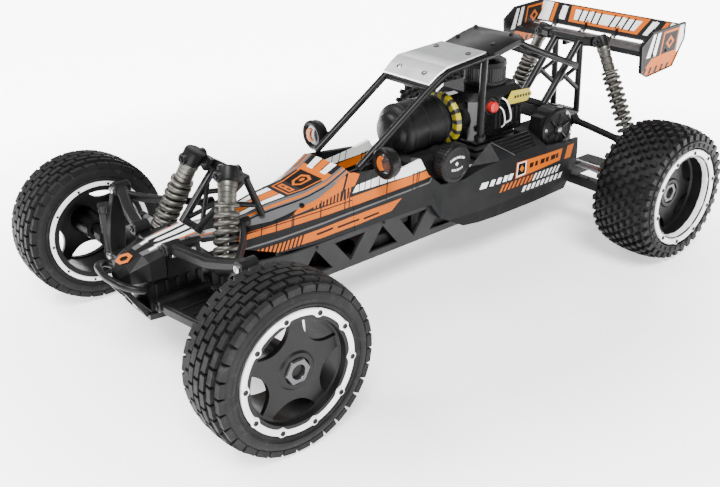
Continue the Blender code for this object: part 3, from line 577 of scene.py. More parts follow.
def beadlock(name, body, centre, side, width, inner_r, outer_r, dish_in, phase, scallop=2.6, holes=10):
    """Clamp ring with ten screw bosses, outside and inside the wheel."""
    bm = bmesh.new()
    face = width
    profile = [(face - 3.4, outer_r - 0.4), (face - 0.6, outer_r), (face + 0.5, outer_r - 0.9)]
    profile += [(face + 0.5, inner_r + 4.6), (face - dish_in * 0.35, inner_r + 0.6)]
    profile += [(face - dish_in, inner_r - 0.6), (face - dish_in - 1.6, inner_r - 0.4), (face - 3.4, inner_r + 4.0)]

    def scalloped(distance, radius, i):
        if radius > inner_r + 5.0:
            return radius
        turn = 2 * pi * i / 240 - scallop_phase
        near = 0.5 + 0.5 * cos(holes * turn)
        return radius - scallop * near ** 9

    scallop_phase = ring_phase(side, phase)
    add_turned(bm, profile, centre, (side, 0, 0), 240, closed=True, radius_at=scalloped)
    back = [(-0.9, 60.2), (-0.9, 56.4), (0.5, 55.8), (2.6, 56.4), (2.6, 60.6), (0.2, 61.0)]
    add_turned(bm, back, centre, (side, 0, 0), 96, closed=True)
    screws = bmesh.new()
    screw_r = outer_r - 3.6
    for i in range(holes):
        turn = phase + 2 * pi * i / holes
        y, z = centre[1] + screw_r * sin(turn), centre[2] + screw_r * cos(turn)
        at = (centre[0] + side * (face + 0.1), y, z)
        boss = [(0.0, 4.4), (0.7, 4.3), (1.1, 3.8), (1.1, 0.0)]
        add_turned(bm, boss, at, (side, 0, 0), 20)
        head = (at[0] + side * 1.0, y, z)
        add_screw(screws, head, (side, 0, 0), 2.5, 0.9)
        behind = (centre[0] - side * 0.8, centre[1] + 58.3 * sin(turn), centre[2] + 58.3 * cos(turn))
        add_screw(screws, behind, (-side, 0, 0), 1.5, 0.7)
    finish_piece(name + "_clamp_ring", bm, RING_WHITE, body, 35.0)
    finish_piece(name + "_ring_screws", screws, SCREW, body, 35.0)


def hub_nut(name, body, centre, side, start):
    """Six-sided nut with a bore, on a flanged washer."""
    bm = bmesh.new()
    x = centre[0] + side * start
    at = (x, centre[1], centre[2])
    washer = [(0.0, 6.9), (0.0, 15.6), (1.4, 15.6), (3.0, 14.2), (3.0, 6.9)]
    add_turned(bm, washer, at, (side, 0, 0), 48, closed=True)
    flats = 48
    outline = [(2.6, 7.0), (2.6, 13.4), (11.6, 13.4), (13.0, 12.4), (13.0, 7.2), (9.6, 6.9)]

    def six_sided(distance, radius, i):
        if radius < 9.0:
            return radius
        turn = (2 * pi * i / flats) % (pi / 3) - pi / 6
        return radius * cos(pi / 6) / cos(turn)

    add_turned(bm, outline, at, (side, 0, 0), flats, closed=True, radius_at=six_sided)
    finish_piece(name + "_hub_nut", bm, HUB_GREY, body, 30.0, bevel=0.35)


def all_wheels():
    front_windows = star_window(30.0, 48.4, radians(28.5))
    rear_windows = star_window(31.0, 47.6, radians(26.5))
    for side, word in SIDES:
        front_tyre(side, word)
        rear_tyre(side, word)
        name, body = f"front_{word}", f"front_{word}_wheel"
        centre = (side * (WHEEL_FACE_X - FRONT_TYRE[0]), *FRONT_AXLE)
        phase = 0.423 if side > 0 else 0.291
        wheel_disc(name, body, centre, side, 62.0, 8.0, front_windows, phase + 0.3, (name + "_rim",))
        beadlock(name, body, centre, side, 62.0, 54.2, 60.6, 1.8, phase)
        hub_nut(name, body, centre, side, 46.6)
        name, body = f"rear_{word}", f"rear_{word}_wheel"
        centre = (side * (WHEEL_FACE_X - REAR_TYRE[0]), *REAR_AXLE)
        wheel_disc(name, body, centre, side, 79.0, 24.0, rear_windows, 0.76 + 0.3, (name + "_rim",))
        beadlock(name, body, centre, side, 79.0, 50.0, 59.8, 7.0, 0.759, 0.8)
        hub_nut(name, body, centre, side, 45.0)


all_wheels()


# Dampers ----------------------------------------------------------------------------------------
def add_coil(bm, start, along, across, upward, length, radius, wire, turns, sides=10):
    """A coil spring with a closed, flattened turn at each end."""
    rows = []
    total = int((turns + 2) * 28)
    for i in range(total + 1):
        t = i / 28.0
        if t < 1.0:
            rise = wire * 1.05 * t * 0.95
        elif t > turns + 1.0:
            rise = length - wire * (turns + 2.0 - t)
        else:
            rise = wire + (length - 2 * wire) * (t - 1.0) / turns
        turn = 2 * pi * t
        out = across * cos(turn) + upward * sin(turn)
        centre = start + along * (rise) + out * radius
        ring = []
        for k in range(sides):
            a = 2 * pi * k / sides
            ring.append(bm.verts.new(centre + out * (wire * 0.5 * cos(a)) + along * (wire * 0.5 * sin(a))))
        rows.append(ring)
    grid_faces(bm, rows)
    bm.faces.new(rows[0][::-1])
    bm.faces.new(rows[-1])


BORE = 27.0  # how far the rod can run up into the barrel


def damper(name, side, top, eye, joint, body, rod_body, sizes):
    """Cap, stepped body with a threaded collar, coil spring, rod, cup and lower eye."""
    cap_r, body_r, collar_r, collar, body_end, cup, wire, turns = sizes
    top, eye = Vector(flip(top, side)), Vector(flip(eye, side))
    along, across, upward = axes_for(eye - top)
    length = (eye - top).length
    cap = bmesh.new()
    outline = [(-8.0, 0.0), (-8.0, cap_r - 2.6), (-7.2, cap_r - 1.2), (-5.4, cap_r - 0.4), (6.0, cap_r)]
    outline += [(7.0, cap_r - 1.0), (8.0, cap_r - 1.0), (8.0, 0.0)]
    add_turned(cap, outline, top, along, 36)
    pin = top - Vector((0, 1, 0)) * (cap_r + 2.5)
    add_turned(cap, [(0.0, 0.0), (0.0, 5.4), (1.2, 6.2), (2 * cap_r + 3.8, 6.2), (2 * cap_r + 5.0, 5.4),
                     (2 * cap_r + 5.0, 0.0)], pin, (0, 1, 0), 28)
    finish_piece(name + "_cap", cap, NYLON, body, 35.0, replaces=(name + "_shock_body",))
    shell = bmesh.new()
    outline = [(7.6, 0.0), (7.6, body_r + 0.4), (9.0, body_r + 0.8), (13.0, body_r + 0.8), (13.8, body_r - 0.2)]
    step = (collar - 14.4) / 3
    for k in range(3):
        d = 14.4 + step * k
        outline += [(d, body_r - 0.1), (d + step * 0.8, body_r - 0.1), (d + step * 0.84, body_r - 0.9)]
        outline += [(d + step * 0.97, body_r - 0.9)]
    outline += [(collar, body_r), (collar, collar_r - 0.3), (collar + 0.6, collar_r), (collar + 1.6, collar_r - 0.8),
                (collar + 2.4, collar_r), (collar + 3.6, collar_r - 0.4), (collar + 3.8, body_r - 1.2)]
    outline += [(body_end - 2.0, body_r - 1.2), (body_end, body_r - 2.0), (body_end, 4.4), (body_end - BORE, 4.4)]
    outline += [(body_end - BORE, 0.0)]
    add_turned(shell, outline, top, along, 40)
    finish_piece(name + "_barrel", shell, GUNMETAL, body, 40.0)
    coil = bmesh.new()
    start = top + along * (collar + 4.0 + wire * 0.5)
    span = cup - 0.4 - collar - 4.0 - wire
    add_coil(coil, start, along, across, upward, span, collar_r - wire * 0.42, wire, turns)
    item = finish_piece(name + "_coil", coil, SPRING_WIRE, body, 60.0, replaces=(name + "_spring",))
    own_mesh(item)
    rod = bmesh.new()
    add_turned(rod, [(body_end - 3.6, 0.0), (body_end - 3.6, 3.2), (cup + 1.0, 3.2), (cup + 1.0, 0.0)], top, along, 24)
    finish_piece(name + "_rod", rod, STEEL, rod_body, 35.0, replaces=(name + "_shock_rod",))
    foot = bmesh.new()
    outline = [(cup, 0.0), (cup, collar_r - 0.6), (cup + 0.8, collar_r), (cup + 2.6, collar_r), (cup + 4.0, collar_r - 3.0)]
    outline += [(cup + 6.5, 5.4), (length - 4.0, 4.8), (length - 4.0, 0.0)]
    add_turned(foot, outline, top, along, 36)
    eye_start = eye - Vector((0, 1, 0)) * 6.0
    add_turned(foot, [(0.0, 2.6), (0.0, 6.2), (0.8, 6.9), (11.2, 6.9), (12.0, 6.2), (12.0, 2.6)], eye_start, (0, 1, 0), 28, True)
    finish_piece(name + "_foot", foot, NYLON, rod_body, 35.0)
    bolt = bmesh.new()
    add_turned(bolt, [(0.0, 0.0), (0.0, 3.6), (2.4, 3.6), (2.4, 2.3), (17.0, 2.3), (17.0, 0.0)],
               eye - Vector((0, 1, 0)) * 9.0, (0, 1, 0), 18)
    finish_piece(name + "_eye_bolt", bolt, SCREW, rod_body, 35.0)
    head = bmesh.new()
    add_screw(head, top - Vector((0, 1, 0)) * (cap_r + 2.6), (0, -1, 0), 3.4, 2.0)
    finish_piece(name + "_cap_screw", head, SCREW, body, 35.0)


def all_dampers():
    for side, word in SIDES:
        front = (11.6, 9.6, 12.6, 30.0, 60.0, 96.0, 6.4, 5.0)
        rear = (8.8, 7.9, 11.4, 40.0, 100.0, 140.0, 4.8, 10.0)
        damper(f"front_{word}", side, *FRONT_SHOCK, f"front_{word}_shock",
               f"front_{word}_shock_body", f"front_{word}_shock_rod", front)
        damper(f"rear_{word}", side, *REAR_SHOCK, f"rear_{word}_shock", "chassis", f"rear_{word}_shock_rod", rear)


all_dampers()


# Suspension arms -------------------------------------------------------------------------------------
def add_beam(bm, points, widths, heights):
    """A bar of rounded square section; widths run along Y and heights along Z."""
    rows = []
    for (x, y, z), w, h in zip(points, widths, heights):
        ring = []
        for u, v in ((-1, -0.55), (-0.55, -1), (0.55, -1), (1, -0.55), (1, 0.55), (0.55, 1), (-0.55, 1), (-1, 0.55)):
            ring.append(bm.verts.new((x, y + u * w / 2, z + v * h / 2)))
        rows.append(ring)
    grid_faces(bm, rows)
    bm.faces.new(rows[0][::-1])
    bm.faces.new(rows[-1])


def pivot_pin(bm, x, z, y0, y1, radius):
    add_turned(bm, [(0.0, 0.0), (0.0, radius - 0.8), (0.8, radius), (y1 - y0 - 0.8, radius),
                    (y1 - y0, radius - 0.8), (y1 - y0, 0.0)], (x, y0, z), (0, 1, 0), 24)


def front_arms(side, word):
    name = f"front_{word}"
    upper = bmesh.new()
    lead = mirror([(30.0, -323.0, 141.0), (46.0, -320.0, 140.0), (84.0, -310.0, 138.5), (108.0, -302.0, 143.0),
                   (121.0, -298.0, 147.0)], side)
    add_beam(upper, lead, [9.0, 12.0, 12.5, 12.0, 14.0], [11.0, 12.0, 12.5, 12.0, 11.0])
    trail = mirror([(34.0, -241.0, 143.5), (74.0, -266.0, 141.5), (96.0, -285.0, 142.0), (112.0, -297.0, 145.0)], side)
    add_beam(upper, trail, [8.0, 8.0, 9.0, 9.0], [8.0, 8.0, 9.0, 9.0])
    pivot_pin(upper, side * 33.0, 141.0, -332.0, -314.0, 7.0)
    pivot_pin(upper, side * 35.0, 143.5, -249.0, -234.0, 5.4)
    finish_piece(name + "_wishbone", upper, NYLON, name + "_upper_arm", 35.0, bevel=0.6, replaces=(name + "_upper_arm",))
    trim = bmesh.new()
    add_screw(trim, (side * 33.0, -331.8, 141.0), (0, -1, 0), 3.6, 2.0)
    finish_piece(name + "_upper_screw", trim, SCREW, name + "_upper_arm", 35.0)
    lower = bmesh.new()
    sections = [(26.0, -343.0, -288.0, 77.5, 86.5), (42.0, -343.0, -287.0, 74.0, 86.0),
                (80.0, -333.0, -287.0, 70.6, 82.4), (110.0, -323.0, -300.0, 67.6, 79.0),
                (121.0, -321.0, -303.0, 66.0, 78.0)]
    rows = []
    for x, y0, y1, z0, z1 in sections:
        ring = [(y0 + 2, z0), (y1 - 2, z0), (y1, z0 + 2), (y1, z1 - 2), (y1 - 2, z1), (y1 - 7, z1), (y1 - 8, z1 - 3),
                (y0 + 8, z1 - 3), (y0 + 7, z1), (y0 + 2, z1), (y0, z1 - 2), (y0, z0 + 2)]
        rows.append([lower.verts.new((side * x, y, z)) for y, z in ring])
    grid_faces(lower, rows)
    lower.faces.new(rows[0][::-1])
    lower.faces.new(rows[-1])
    for x in (52.0, 66.0, 92.0):
        half = 24.0 - (x - 50.0) * 0.20
        add_box(lower, (min(side * x, side * (x + 2.6)), -316.0 - half * 0.8, 74.0),
                (max(side * x, side * (x + 2.6)), -316.0 + half, 84.0 - (x - 50) * 0.11))
    pivot_pin(lower, side * 30.0, 82.0, -346.0, -284.0, 7.2)
    for y in (-300.5, -283.5):
        add_box(lower, (min(side * 66.0, side * 78.0), y, 78.0), (max(side * 66.0, side * 78.0), y + 4.0, 103.0 - 4.0))
    finish_piece(name + "_lower_wishbone", lower, NYLON, name + "_lower_arm", 35.0, bevel=0.6,
                 replaces=(name + "_lower_arm",))
    trim = bmesh.new()
    add_screw(trim, (side * 30.0, -345.8, 82.0), (0, -1, 0), 3.6, 2.2)
    add_screw(trim, (side * 72.0, -300.6, 94.0), (0, -1, 0), 3.4, 2.0)
    finish_piece(name + "_lower_screws", trim, SCREW, name + "_lower_arm", 35.0)


def front_hub(side, word):
    name = f"front_{word}"
    bm = bmesh.new()
    outline = [(-320.0, 62.0), (-304.0, 62.0), (-302.0, 84.0), (-296.0, 120.0), (-289.0, 140.0), (-288.0, 154.0),
               (-304.0, 156.0), (-309.0, 142.0), (-315.0, 122.0), (-321.0, 86.0)]
    add_plate(bm, outline, side * 124.0, side * 132.0)
    add_turned(bm, [(0.0, 0.0), (0.0, 8.4), (8.5, 8.4), (8.5, 0.0)], (side * 143.0, -312.0, 63.5), (0, 0, 1), 28)
    add_box(bm, (min(side * 130.0, side * 143.0), -317.0, 64.4), (max(side * 130.0, side * 143.0), -307.0, 71.2))
    add_turned(bm, [(0.0, 0.0), (0.0, 8.4), (8.5, 8.4), (8.5, 0.0)], (side * 143.0, -312.0, 119.5), (0, 0, 1), 28)
    add_box(bm, (min(side * 130.0, side * 143.0), -316.0, 120.4), (max(side * 130.0, side * 143.0), -306.0, 127.2))
    pivot_pin(bm, side * 128.0, 148.0, -307.0, -287.0, 7.6)
    pivot_pin(bm, side * 128.0, 72.0, -322.0, -302.0, 7.0)
    finish_piece(name + "_carrier", bm, NYLON, name + "_hub_carrier", 35.0, bevel=0.7, replaces=(name + "_hub_carrier",))
    trim = bmesh.new()
    add_screw(trim, (side * 128.0, -306.9, 148.0), (0, -1, 0), 4.0, 2.4)
    add_screw(trim, (side * 128.0, -321.9, 72.0), (0, -1, 0), 4.0, 2.4)
    finish_piece(name + "_carrier_screws", trim, STEEL, name + "_hub_carrier", 35.0)


def rear_arms(side, word):
    name = f"rear_{word}"
    link = bmesh.new()
    points = mirror([(52.0, 266.0, 140.8), (60.0, 266.0, 139.7), (116.0, 266.0, 132.2), (124.0, 266.0, 131.2)], side)
    add_tube(link, points, [6.2, 4.4, 4.4, 6.2], 18)
    pivot_pin(link, side * 50.0, 141.0, 260.5, 271.5, 6.6)
    finish_piece(name + "_link", link, NYLON, name + "_upper_link", 35.0, replaces=(name + "_upper_link",))
    shaft = bmesh.new()
    centre = (side * 36.5, REAR_AXLE[0], REAR_AXLE[1])
    outline = [(0.0, 0.0), (0.0, 8.2), (1.0, 9.0), (8.0, 9.0), (9.0, 8.2), (11.0, 5.0), (12.0, 4.4), (74.0, 4.4)]
    outline += [(76.0, 5.4), (78.0, 8.4), (86.0, 8.8), (88.0, 8.0), (88.0, 0.0)]
    add_turned(shaft, outline, centre, (side, 0, 0), 30)
    finish_piece(name + "_axle_shaft", shaft, STEEL, name + "_drive_shaft", 35.0, replaces=(name + "_drive_shaft",))
    trim = bmesh.new()
    for y in (246.0, 330.0):
        toward = (0, -1, 0) if y < 300 else (0, 1, 0)
        add_screw(trim, (side * 35.0, y, 66.0), toward, 3.6, 2.0)
    for y in (262.0, 306.0):
        for x in (58.0, 74.0, 90.0):
            add_screw(trim, (side * x, y - 7.0 if y < 280 else y + 12.0, 70.8), (0, 0, 1), 2.0, 0.8)
    finish_piece(name + "_arm_screws", trim, SCREW, name + "_lower_arm", 35.0)


for side, word in SIDES:
    front_arms(side, word)
    front_hub(side, word)
    rear_arms(side, word)


# Frame of bars --------------------------------------------------------------------------------------
CAGE_RAIL = [(38.6, -91.0, 163.5), (38.8, 17.0, 232.0), (39.8, 40.0, 245.5), (37.5, 108.0, 250.4),
             (36.0, 124.0, 250.0), (36.0, 166.0, 258.6), (36.0, 180.0, 251.0), (31.5, 286.0, 206.0)]


def roll_cage():
    bm = bmesh.new()
    for side in (1, -1):
        add_tube(bm, rounded_path(mirror(CAGE_RAIL, side), 9.0), 4.3, 18)
        pillar = mirror([(38.4, 106.0, 249.0), (44.0, 97.0, 206.0), (51.0, 88.5, 158.0)], side)
        add_tube(bm, rounded_path(pillar, 12.0), 4.1, 18)
        add_tube(bm, mirror([(39.0, -66.0, 178.6), (48.0, -65.0, 175.0), (58.0, -64.0, 173.0)], side), 3.3, 14)
        add_turned(bm, [(0.0, 0.0), (0.0, 6.0), (1.0, 6.8), (6.0, 6.8), (7.0, 6.0), (7.0, 0.0)],
                   (side * 51.4, 88.0, 155.0), (0, -0.18, 1), 24)
    for y, z, half in ((17.0, 231.0, 38.0), (110.5, 249.6, 37.0), (129.0, 251.0, 36.0), (170.2, 255.2, 35.1)):
        add_tube(bm, [(-half, y, z), (half, y, z)], 3.6, 16)
    finish_piece("cage_bars", bm, FRAME_BLACK, "chassis", 50.0, replaces=("roll_cage",))
    for side in (1, -1):
        x, y, z = side * 65.0, -76.0, 172.0
        bowl = bmesh.new()
        outline = [(-1.4, 12.6), (-2.2, 14.6), (-1.8, 16.6), (0.0, 17.6), (8.0, 17.6), (12.0, 15.6), (15.0, 11.0)]
        outline += [(16.6, 6.0), (17.0, 0.0)]
        add_turned(bowl, outline + [(1.4, 0.0)][:0], (x, y, z), (0, 1, 0), 48)
        rim = bmesh.new()
        add_turned(rim, [(-1.4, 12.4), (-2.4, 14.0), (-2.6, 15.8), (-1.2, 17.6), (2.0, 18.0), (2.6, 17.2), (2.6, 12.4)],
                   (x, y, z), (0, 1, 0), 48, closed=True)
        lens = bmesh.new()
        add_turned(lens, [(-0.8, 0.0), (-0.5, 7.0), (0.4, 12.8), (2.4, 12.8), (2.4, 0.0)], (x, y, z), (0, 1, 0), 40)
        bowl.free()
        shell = bmesh.new()
        add_turned(shell, [(1.0, 0.0), (1.0, 17.2), (8.0, 17.2), (12.0, 15.4), (15.0, 11.0), (16.6, 6.0), (17.0, 0.0)],
                   (x, y, z), (0, 1, 0), 48)
        finish_piece(f"lamp_shell_{side}", shell, NYLON, "chassis", 40.0)
        finish_piece(f"lamp_rim_{side}", rim, FRAME_BLACK, "chassis", 40.0)
        finish_piece(f"lamp_lens_{side}", lens, LENS_SMOKE, "chassis", 40.0)
        mark = bmesh.new()
        ring_a, ring_b = [], []
        for k in range(15):
            a = radians(115 + 130 * k / 14)
            ring_a.append((x + 9.6 * cos(a), z + 9.6 * sin(a)))
        for k in range(15):
            a = radians(245 - 130 * k / 14)
            ring_b.append((x + 3.4 + 6.8 * cos(a) * 0.9, z + 7.4 * sin(a)))
        outline = ring_a + ring_b
        add_prism(mark, [(px, y - 2.2, pz) for px, pz in outline], [(px, y - 0.6, pz) for px, pz in outline])
        finish_piece(f"lamp_mark_{side}", mark, ORANGE_PAINT, "chassis", 0.0)


def bars(name, node, groups, material, extra=None):
    """Round bars, each (points, radius), that stand for one node of the frame."""
    bm = bmesh.new()
    for points, radius in groups:
        add_tube(bm, rounded_path(points, 6.0), radius, 16)
    if extra:
        extra(bm)
    return finish_piece(name, bm, material, "chassis", 40.0, replaces=(node,))


def front_tower():
    groups = [([(-31.0, -231.0, 187.0), (31.0, -231.0, 187.0)], 5.4)]
    for side in (1, -1):
        groups.append((mirror([(27.0, -231.5, 186.0), (15.0, -284.0, 140.0)], side), 4.4))
        groups.append((mirror([(29.0, -230.5, 188.0), (28.0, -213.5, 142.8)], side), 3.9))
        groups.append((mirror([(20.0, -257.0, 164.0), (28.3, -218.0, 154.0)], side), 3.0))
        groups.append((mirror([(22.0, -246.0, 170.0), (-16.0, -279.0, 142.0)], side), 2.6))
    groups.append(([(-16.0, -281.0, 141.5), (16.0, -281.0, 141.5)], 3.9))

    def clamps(bm):
        for side in (1, -1):
            add_beam(bm, mirror([(22.0, -238.0, 189.0), (32.0, -240.0, 192.0)], side), [16.0, 14.0], [11.0, 11.0])
            add_turned(bm, [(0.0, 0.0), (0.0, 5.6), (1.0, 6.4), (9.0, 6.4), (10.0, 5.6), (10.0, 0.0)],
                       (side * 24.0, -242.0, 187.0), (0, -0.4, 1), 22)

    bars("front_tower_bars", "front_shock_tower", groups, FRAME_BLACK, clamps)


def rear_tower():
    groups = [([(-37.5, 306.0, 234.5), (37.5, 306.0, 234.5)], 5.2), ([(-21.0, 240.0, 160.0), (21.0, 240.0, 160.0)], 4.6),
              ([(-21.0, 309.0, 134.0), (21.0, 309.0, 134.0)], 4.5)]
    for side in (1, -1):
        groups.append((mirror([(20.0, 305.5, 234.0), (19.6, 239.6, 160.3)], side), 4.9))
        groups.append((mirror([(20.6, 306.3, 233.6), (20.2, 309.2, 134.4)], side), 4.3))
        groups.append((mirror([(19.2, 240.4, 159.6), (19.9, 308.6, 133.8)], side), 4.1))
        groups.append((mirror([(20.3, 272.0, 196.0), (20.1, 307.8, 168.0)], side), 3.5))
        groups.append((mirror([(20.2, 262.0, 184.0), (20.1, 308.0, 200.0)], side), 2.8))

    def foot(bm):
        add_box(bm, (-12.0, 304.8, 126.0), (12.0, 313.0, 138.0))
        for side in (1, -1):
            add_beam(bm, mirror([(30.0, 306.0, 234.5), (41.0, 306.5, 235.5)], side), [13.0, 12.0], [13.0, 12.0])

    bars("rear_tower_bars", "rear_shock_tower", groups, FRAME_BLACK, foot)


def bumper():
    bm = bmesh.new()
    half = [(26.0, -352.0, 104.0), (42.0, -362.0, 110.0), (30.0, -377.0, 115.0)]
    add_tube(bm, rounded_path(mirror(half, -1) + [(0.0, -382.0, 116.0)] + half[::-1], 9.0), 3.8, 16)
    stations = [(-351.0, 70.5, 20.0), (-356.5, 80.0, 21.5), (-363.0, 90.0, 25.0), (-372.0, 106.0, 28.0), (-378.0, 114.0, 27.0)]
    rows = []
    for y, z, h in stations:
        ring = [(-h, y + 2.4, z), (h, y + 2.4, z), (h, y - 2.0, z - 2.4), (h - 6, y - 2.0, z - 2.4), (h - 7, y - 0.4, z - 1.2),
                (-h + 7, y - 0.4, z - 1.2), (-h + 6, y - 2.0, z - 2.4), (-h, y - 2.0, z - 2.4)]
        rows.append([bm.verts.new(p) for p in ring])
    grid_faces(bm, rows)
    bm.faces.new(rows[0][::-1])
    bm.faces.new(rows[-1])
    finish_piece("bumper_loop", bm, NYLON, "chassis", 40.0, replaces=("front_bumper",))
    trim = bmesh.new()
    for side in (1, -1):
        add_screw(trim, (side * 13.0, -359.6, 82.0), (0, -0.85, -0.5), 3.2, 2.0)
    finish_piece("bumper_screws", trim, STEEL, "chassis", 35.0)


roll_cage()
front_tower()
rear_tower()
bumper()


# Painted bodywork --------------------------------------------------------------------------------------
def band(y0, y1, low, high, lean=0.0):
    """A four-cornered area in the side view; low and high are (start, end) heights."""
    return ("yz", [(y0, low[0]), (y1, low[1]), (y1 + lean, high[1]), (y0 + lean, high[0])], [])


def side_bands():
    """Orange and white bands along the side of the hood and the cockpit."""
    areas = []

    def side(colour, *corners):
        areas.append((colour, ("yz", corners, [])))

    side(GREY_STRIPE, (-249.0, 109.0), (-100.0, 117.0), (6.0, 122.0), (10.0, 131.0), (-249.0, 122.0))
    side(INK, (-249.0, 112.0), (-100.0, 119.0), (6.0, 124.5), (10.0, 131.0), (-249.0, 121.0))
    side(ORANGE, (-249.0, 121.5), (-100.0, 124.5), (8.0, 130.0), (14.0, 133.0), (5.0, 140.0), (-28.0, 138.5),
         (-105.0, 138.5), (-180.0, 137.5), (-249.0, 134.5))
    side(ORANGE, (-185.0, 133.5), (-105.0, 164.5), (-92.0, 158.0), (-100.0, 147.0), (-150.0, 137.0))
    side(INK, (-160.0, 136.2), (-112.0, 146.5), (-104.0, 146.5), (-110.0, 137.0))
    for k in range(11):
        y = -156.0 + 4.6 * k
        side(ORANGE, (y, 135.0), (y + 2.2, 135.0), (y + 5.2, 147.0), (y + 3.0, 147.0))
    side(WHITE, (-104.0, 139.0), (-98.0, 146.5), (-28.0, 152.0), (-20.0, 139.5))
    side(WHITE, (-28.0, 139.5), (-28.0, 152.0), (-5.0, 158.5), (3.0, 141.0))
    for y in (-96.0, -88.0, -80.0, -68.0, -56.0, -46.0):
        side(INK, (y, 138.5), (y + 1.3, 138.5), (y + 4.3, 153.0), (y + 3.0, 153.0))
    side(INK, (-249.0, 127.4), (-105.0, 130.6), (-105.0, 131.8), (-249.0, 128.6))
    for y in (-240.0, -222.0, -205.0, -186.0, -184.0, -150.0, -118.0, -112.0, -60.0, -22.0, -16.5, -13.5):
        side(INK, (y, 120.0), (y + 1.5, 120.0), (y + 5.6, 141.5), (y + 4.1, 141.5))
    side(INK, (-122.0, 134.0), (-119.0, 134.0), (-106.0, 164.0), (-109.0, 164.0))
    side(ORANGE, (-240.0, 98.0), (-104.0, 101.0), (-52.0, 104.0), (-36.0, 116.0), (-110.0, 112.5), (-232.0, 107.5))
    for k in range(13):
        y = -240.0 + 5.0 * k
        side(INK, (y, 97.0), (y + 2.3, 97.0), (y + 9.0, 110.0), (y + 6.7, 110.0))
    for y, wide in ((-156.0, 22.0), (-128.0, 30.0), (-92.0, 22.0)):
        side(INK, (y, 104.4), (y + wide, 105.6), (y + wide, 108.0), (y, 106.8))
    return areas


def flat(corners, above=None):
    return ("xy", corners, [(0.0, 0.0, 1.0, above)] if above else [])


def hood_paint():
    areas = side_bands()
    top = [(0.0, 0.0, 1.0, 133.4)]

    def upper(colour, *corners):
        areas.append((colour, ("xy", corners, top)))

    upper(GREY_STRIPE, (13.0, -250.0), (31.5, -250.0), (40.4, -104.0), (27.0, -104.0))
    upper(INK, (19.0, -250.0), (20.8, -250.0), (36.0, -104.0), (34.6, -104.0))
    upper(ORANGE, (15.5, -250.0), (17.6, -250.0), (33.4, -104.0), (31.0, -104.0))
    upper(ORANGE, (36.4, -122.0), (38.0, -122.0), (39.2, -104.0), (37.2, -104.0))
    upper(WHITE, (7.0, -246.0), (12.0, -246.0), (16.5, -176.0), (8.0, -176.0))
    upper(ORANGE, (0.0, -242.0), (5.0, -242.0), (6.6, -176.0), (0.0, -176.0))
    upper(WHITE, (7.5, -121.0), (17.0, -121.0), (19.0, -104.0), (8.0, -104.0))
    upper(ORANGE, (0.0, -121.0), (5.5, -121.0), (6.0, -104.0), (0.0, -104.0))
    upper(ORANGE, (0.0, -171.0), (16.0, -171.0), (22.5, -125.0), (0.0, -125.0))
    upper(INK, (0.0, -169.0), (14.4, -169.0), (20.3, -127.0), (0.0, -127.0))
    upper(ORANGE, (0.0, -166.0), (11.4, -166.0), (12.4, -158.6), (0.0, -158.6))
    upper(INK, (2.0, -163.6), (8.8, -163.6), (9.2, -161.0), (2.0, -161.0))
    upper(ORANGE, (0.0, -154.0), (8.4, -148.0), (9.6, -134.0), (0.0, -130.0))
    upper(INK, (0.0, -150.5), (5.6, -146.4), (6.4, -136.4), (0.0, -133.6))
    upper(ORANGE, (0.0, -144.0), (2.6, -142.0), (2.6, -138.4), (0.0, -136.6))
    return painted("hood_paint", CHARCOAL, areas)


def pod_paint():
    areas = side_bands()
    out = [(1.0, 0.0, 0.0, 57.0)]
    areas.append((INK, ("yz", [(-6.0, 40.0), (262.0, 40.0), (262.0, 84.0), (236.0, 72.0), (20.0, 70.0)], [])))
    areas.append((CHARCOAL, ("yz", [(14.0, 118.0), (262.0, 118.0), (262.0, 160.0), (14.0, 160.0)], [(-1.0, 0.0, 0.0, -62.2)])))
    for y in (74.0, 90.0, 101.0, 112.0, 121.0):
        wide = 11.0 if y < 80.0 else 6.5
        areas.append((WHITE, ("yz", [(y, 99.5), (y + wide, 98.8), (y + wide + 4.5, 106.0), (y + 4.5, 106.6)], out)))
    areas.append((ORANGE, ("yz", [(134.0, 97.5), (219.0, 101.0), (224.0, 116.0), (138.0, 118.0)], out)))
    areas.append((WHITE, ("yz", [(136.2, 99.2), (153.0, 99.8), (155.8, 116.4), (139.8, 116.8)], out)))
    areas.append((INK, ("yz", [(138.0, 100.6), (151.6, 101.2), (154.0, 115.2), (141.2, 115.6)], out)))
    areas.append((ORANGE, ("yz", [(142.6, 108.0), (146.6, 103.6), (151.0, 108.2), (147.0, 112.8)], out)))
    for k, wide in enumerate((7.0, 5.0, 8.0, 6.0, 9.0, 5.0)):
        y = 160.0 + k * 10.0
        areas.append((INK, ("yz", [(y, 105.6), (y + wide, 105.9), (y + wide + 1.4, 111.8), (y + 1.4, 111.6)], out)))
    for k in range(15):
        y = 108.0 + 7.4 * k
        colour = ORANGE if k < 8 else WHITE
        areas.append((colour, ("yz", [(y, 86.0), (y + 3.6, 86.0), (y + 8.4, 95.4), (y + 4.8, 95.4)], out)))
    for k in range(9):
        y = 150.0 + 8.6 * k
        areas.append((WHITE, ("yz", [(y, 75.0), (y + 5.0, 75.0), (y + 8.2, 82.6), (y + 3.2, 82.6)], out)))
    areas.append((ORANGE, ("yz", [(228.0, 100.0), (240.0, 100.0), (247.0, 117.0), (234.0, 117.0)], out)))
    return painted("pod_paint", POD_GREY, areas, rough=0.46)


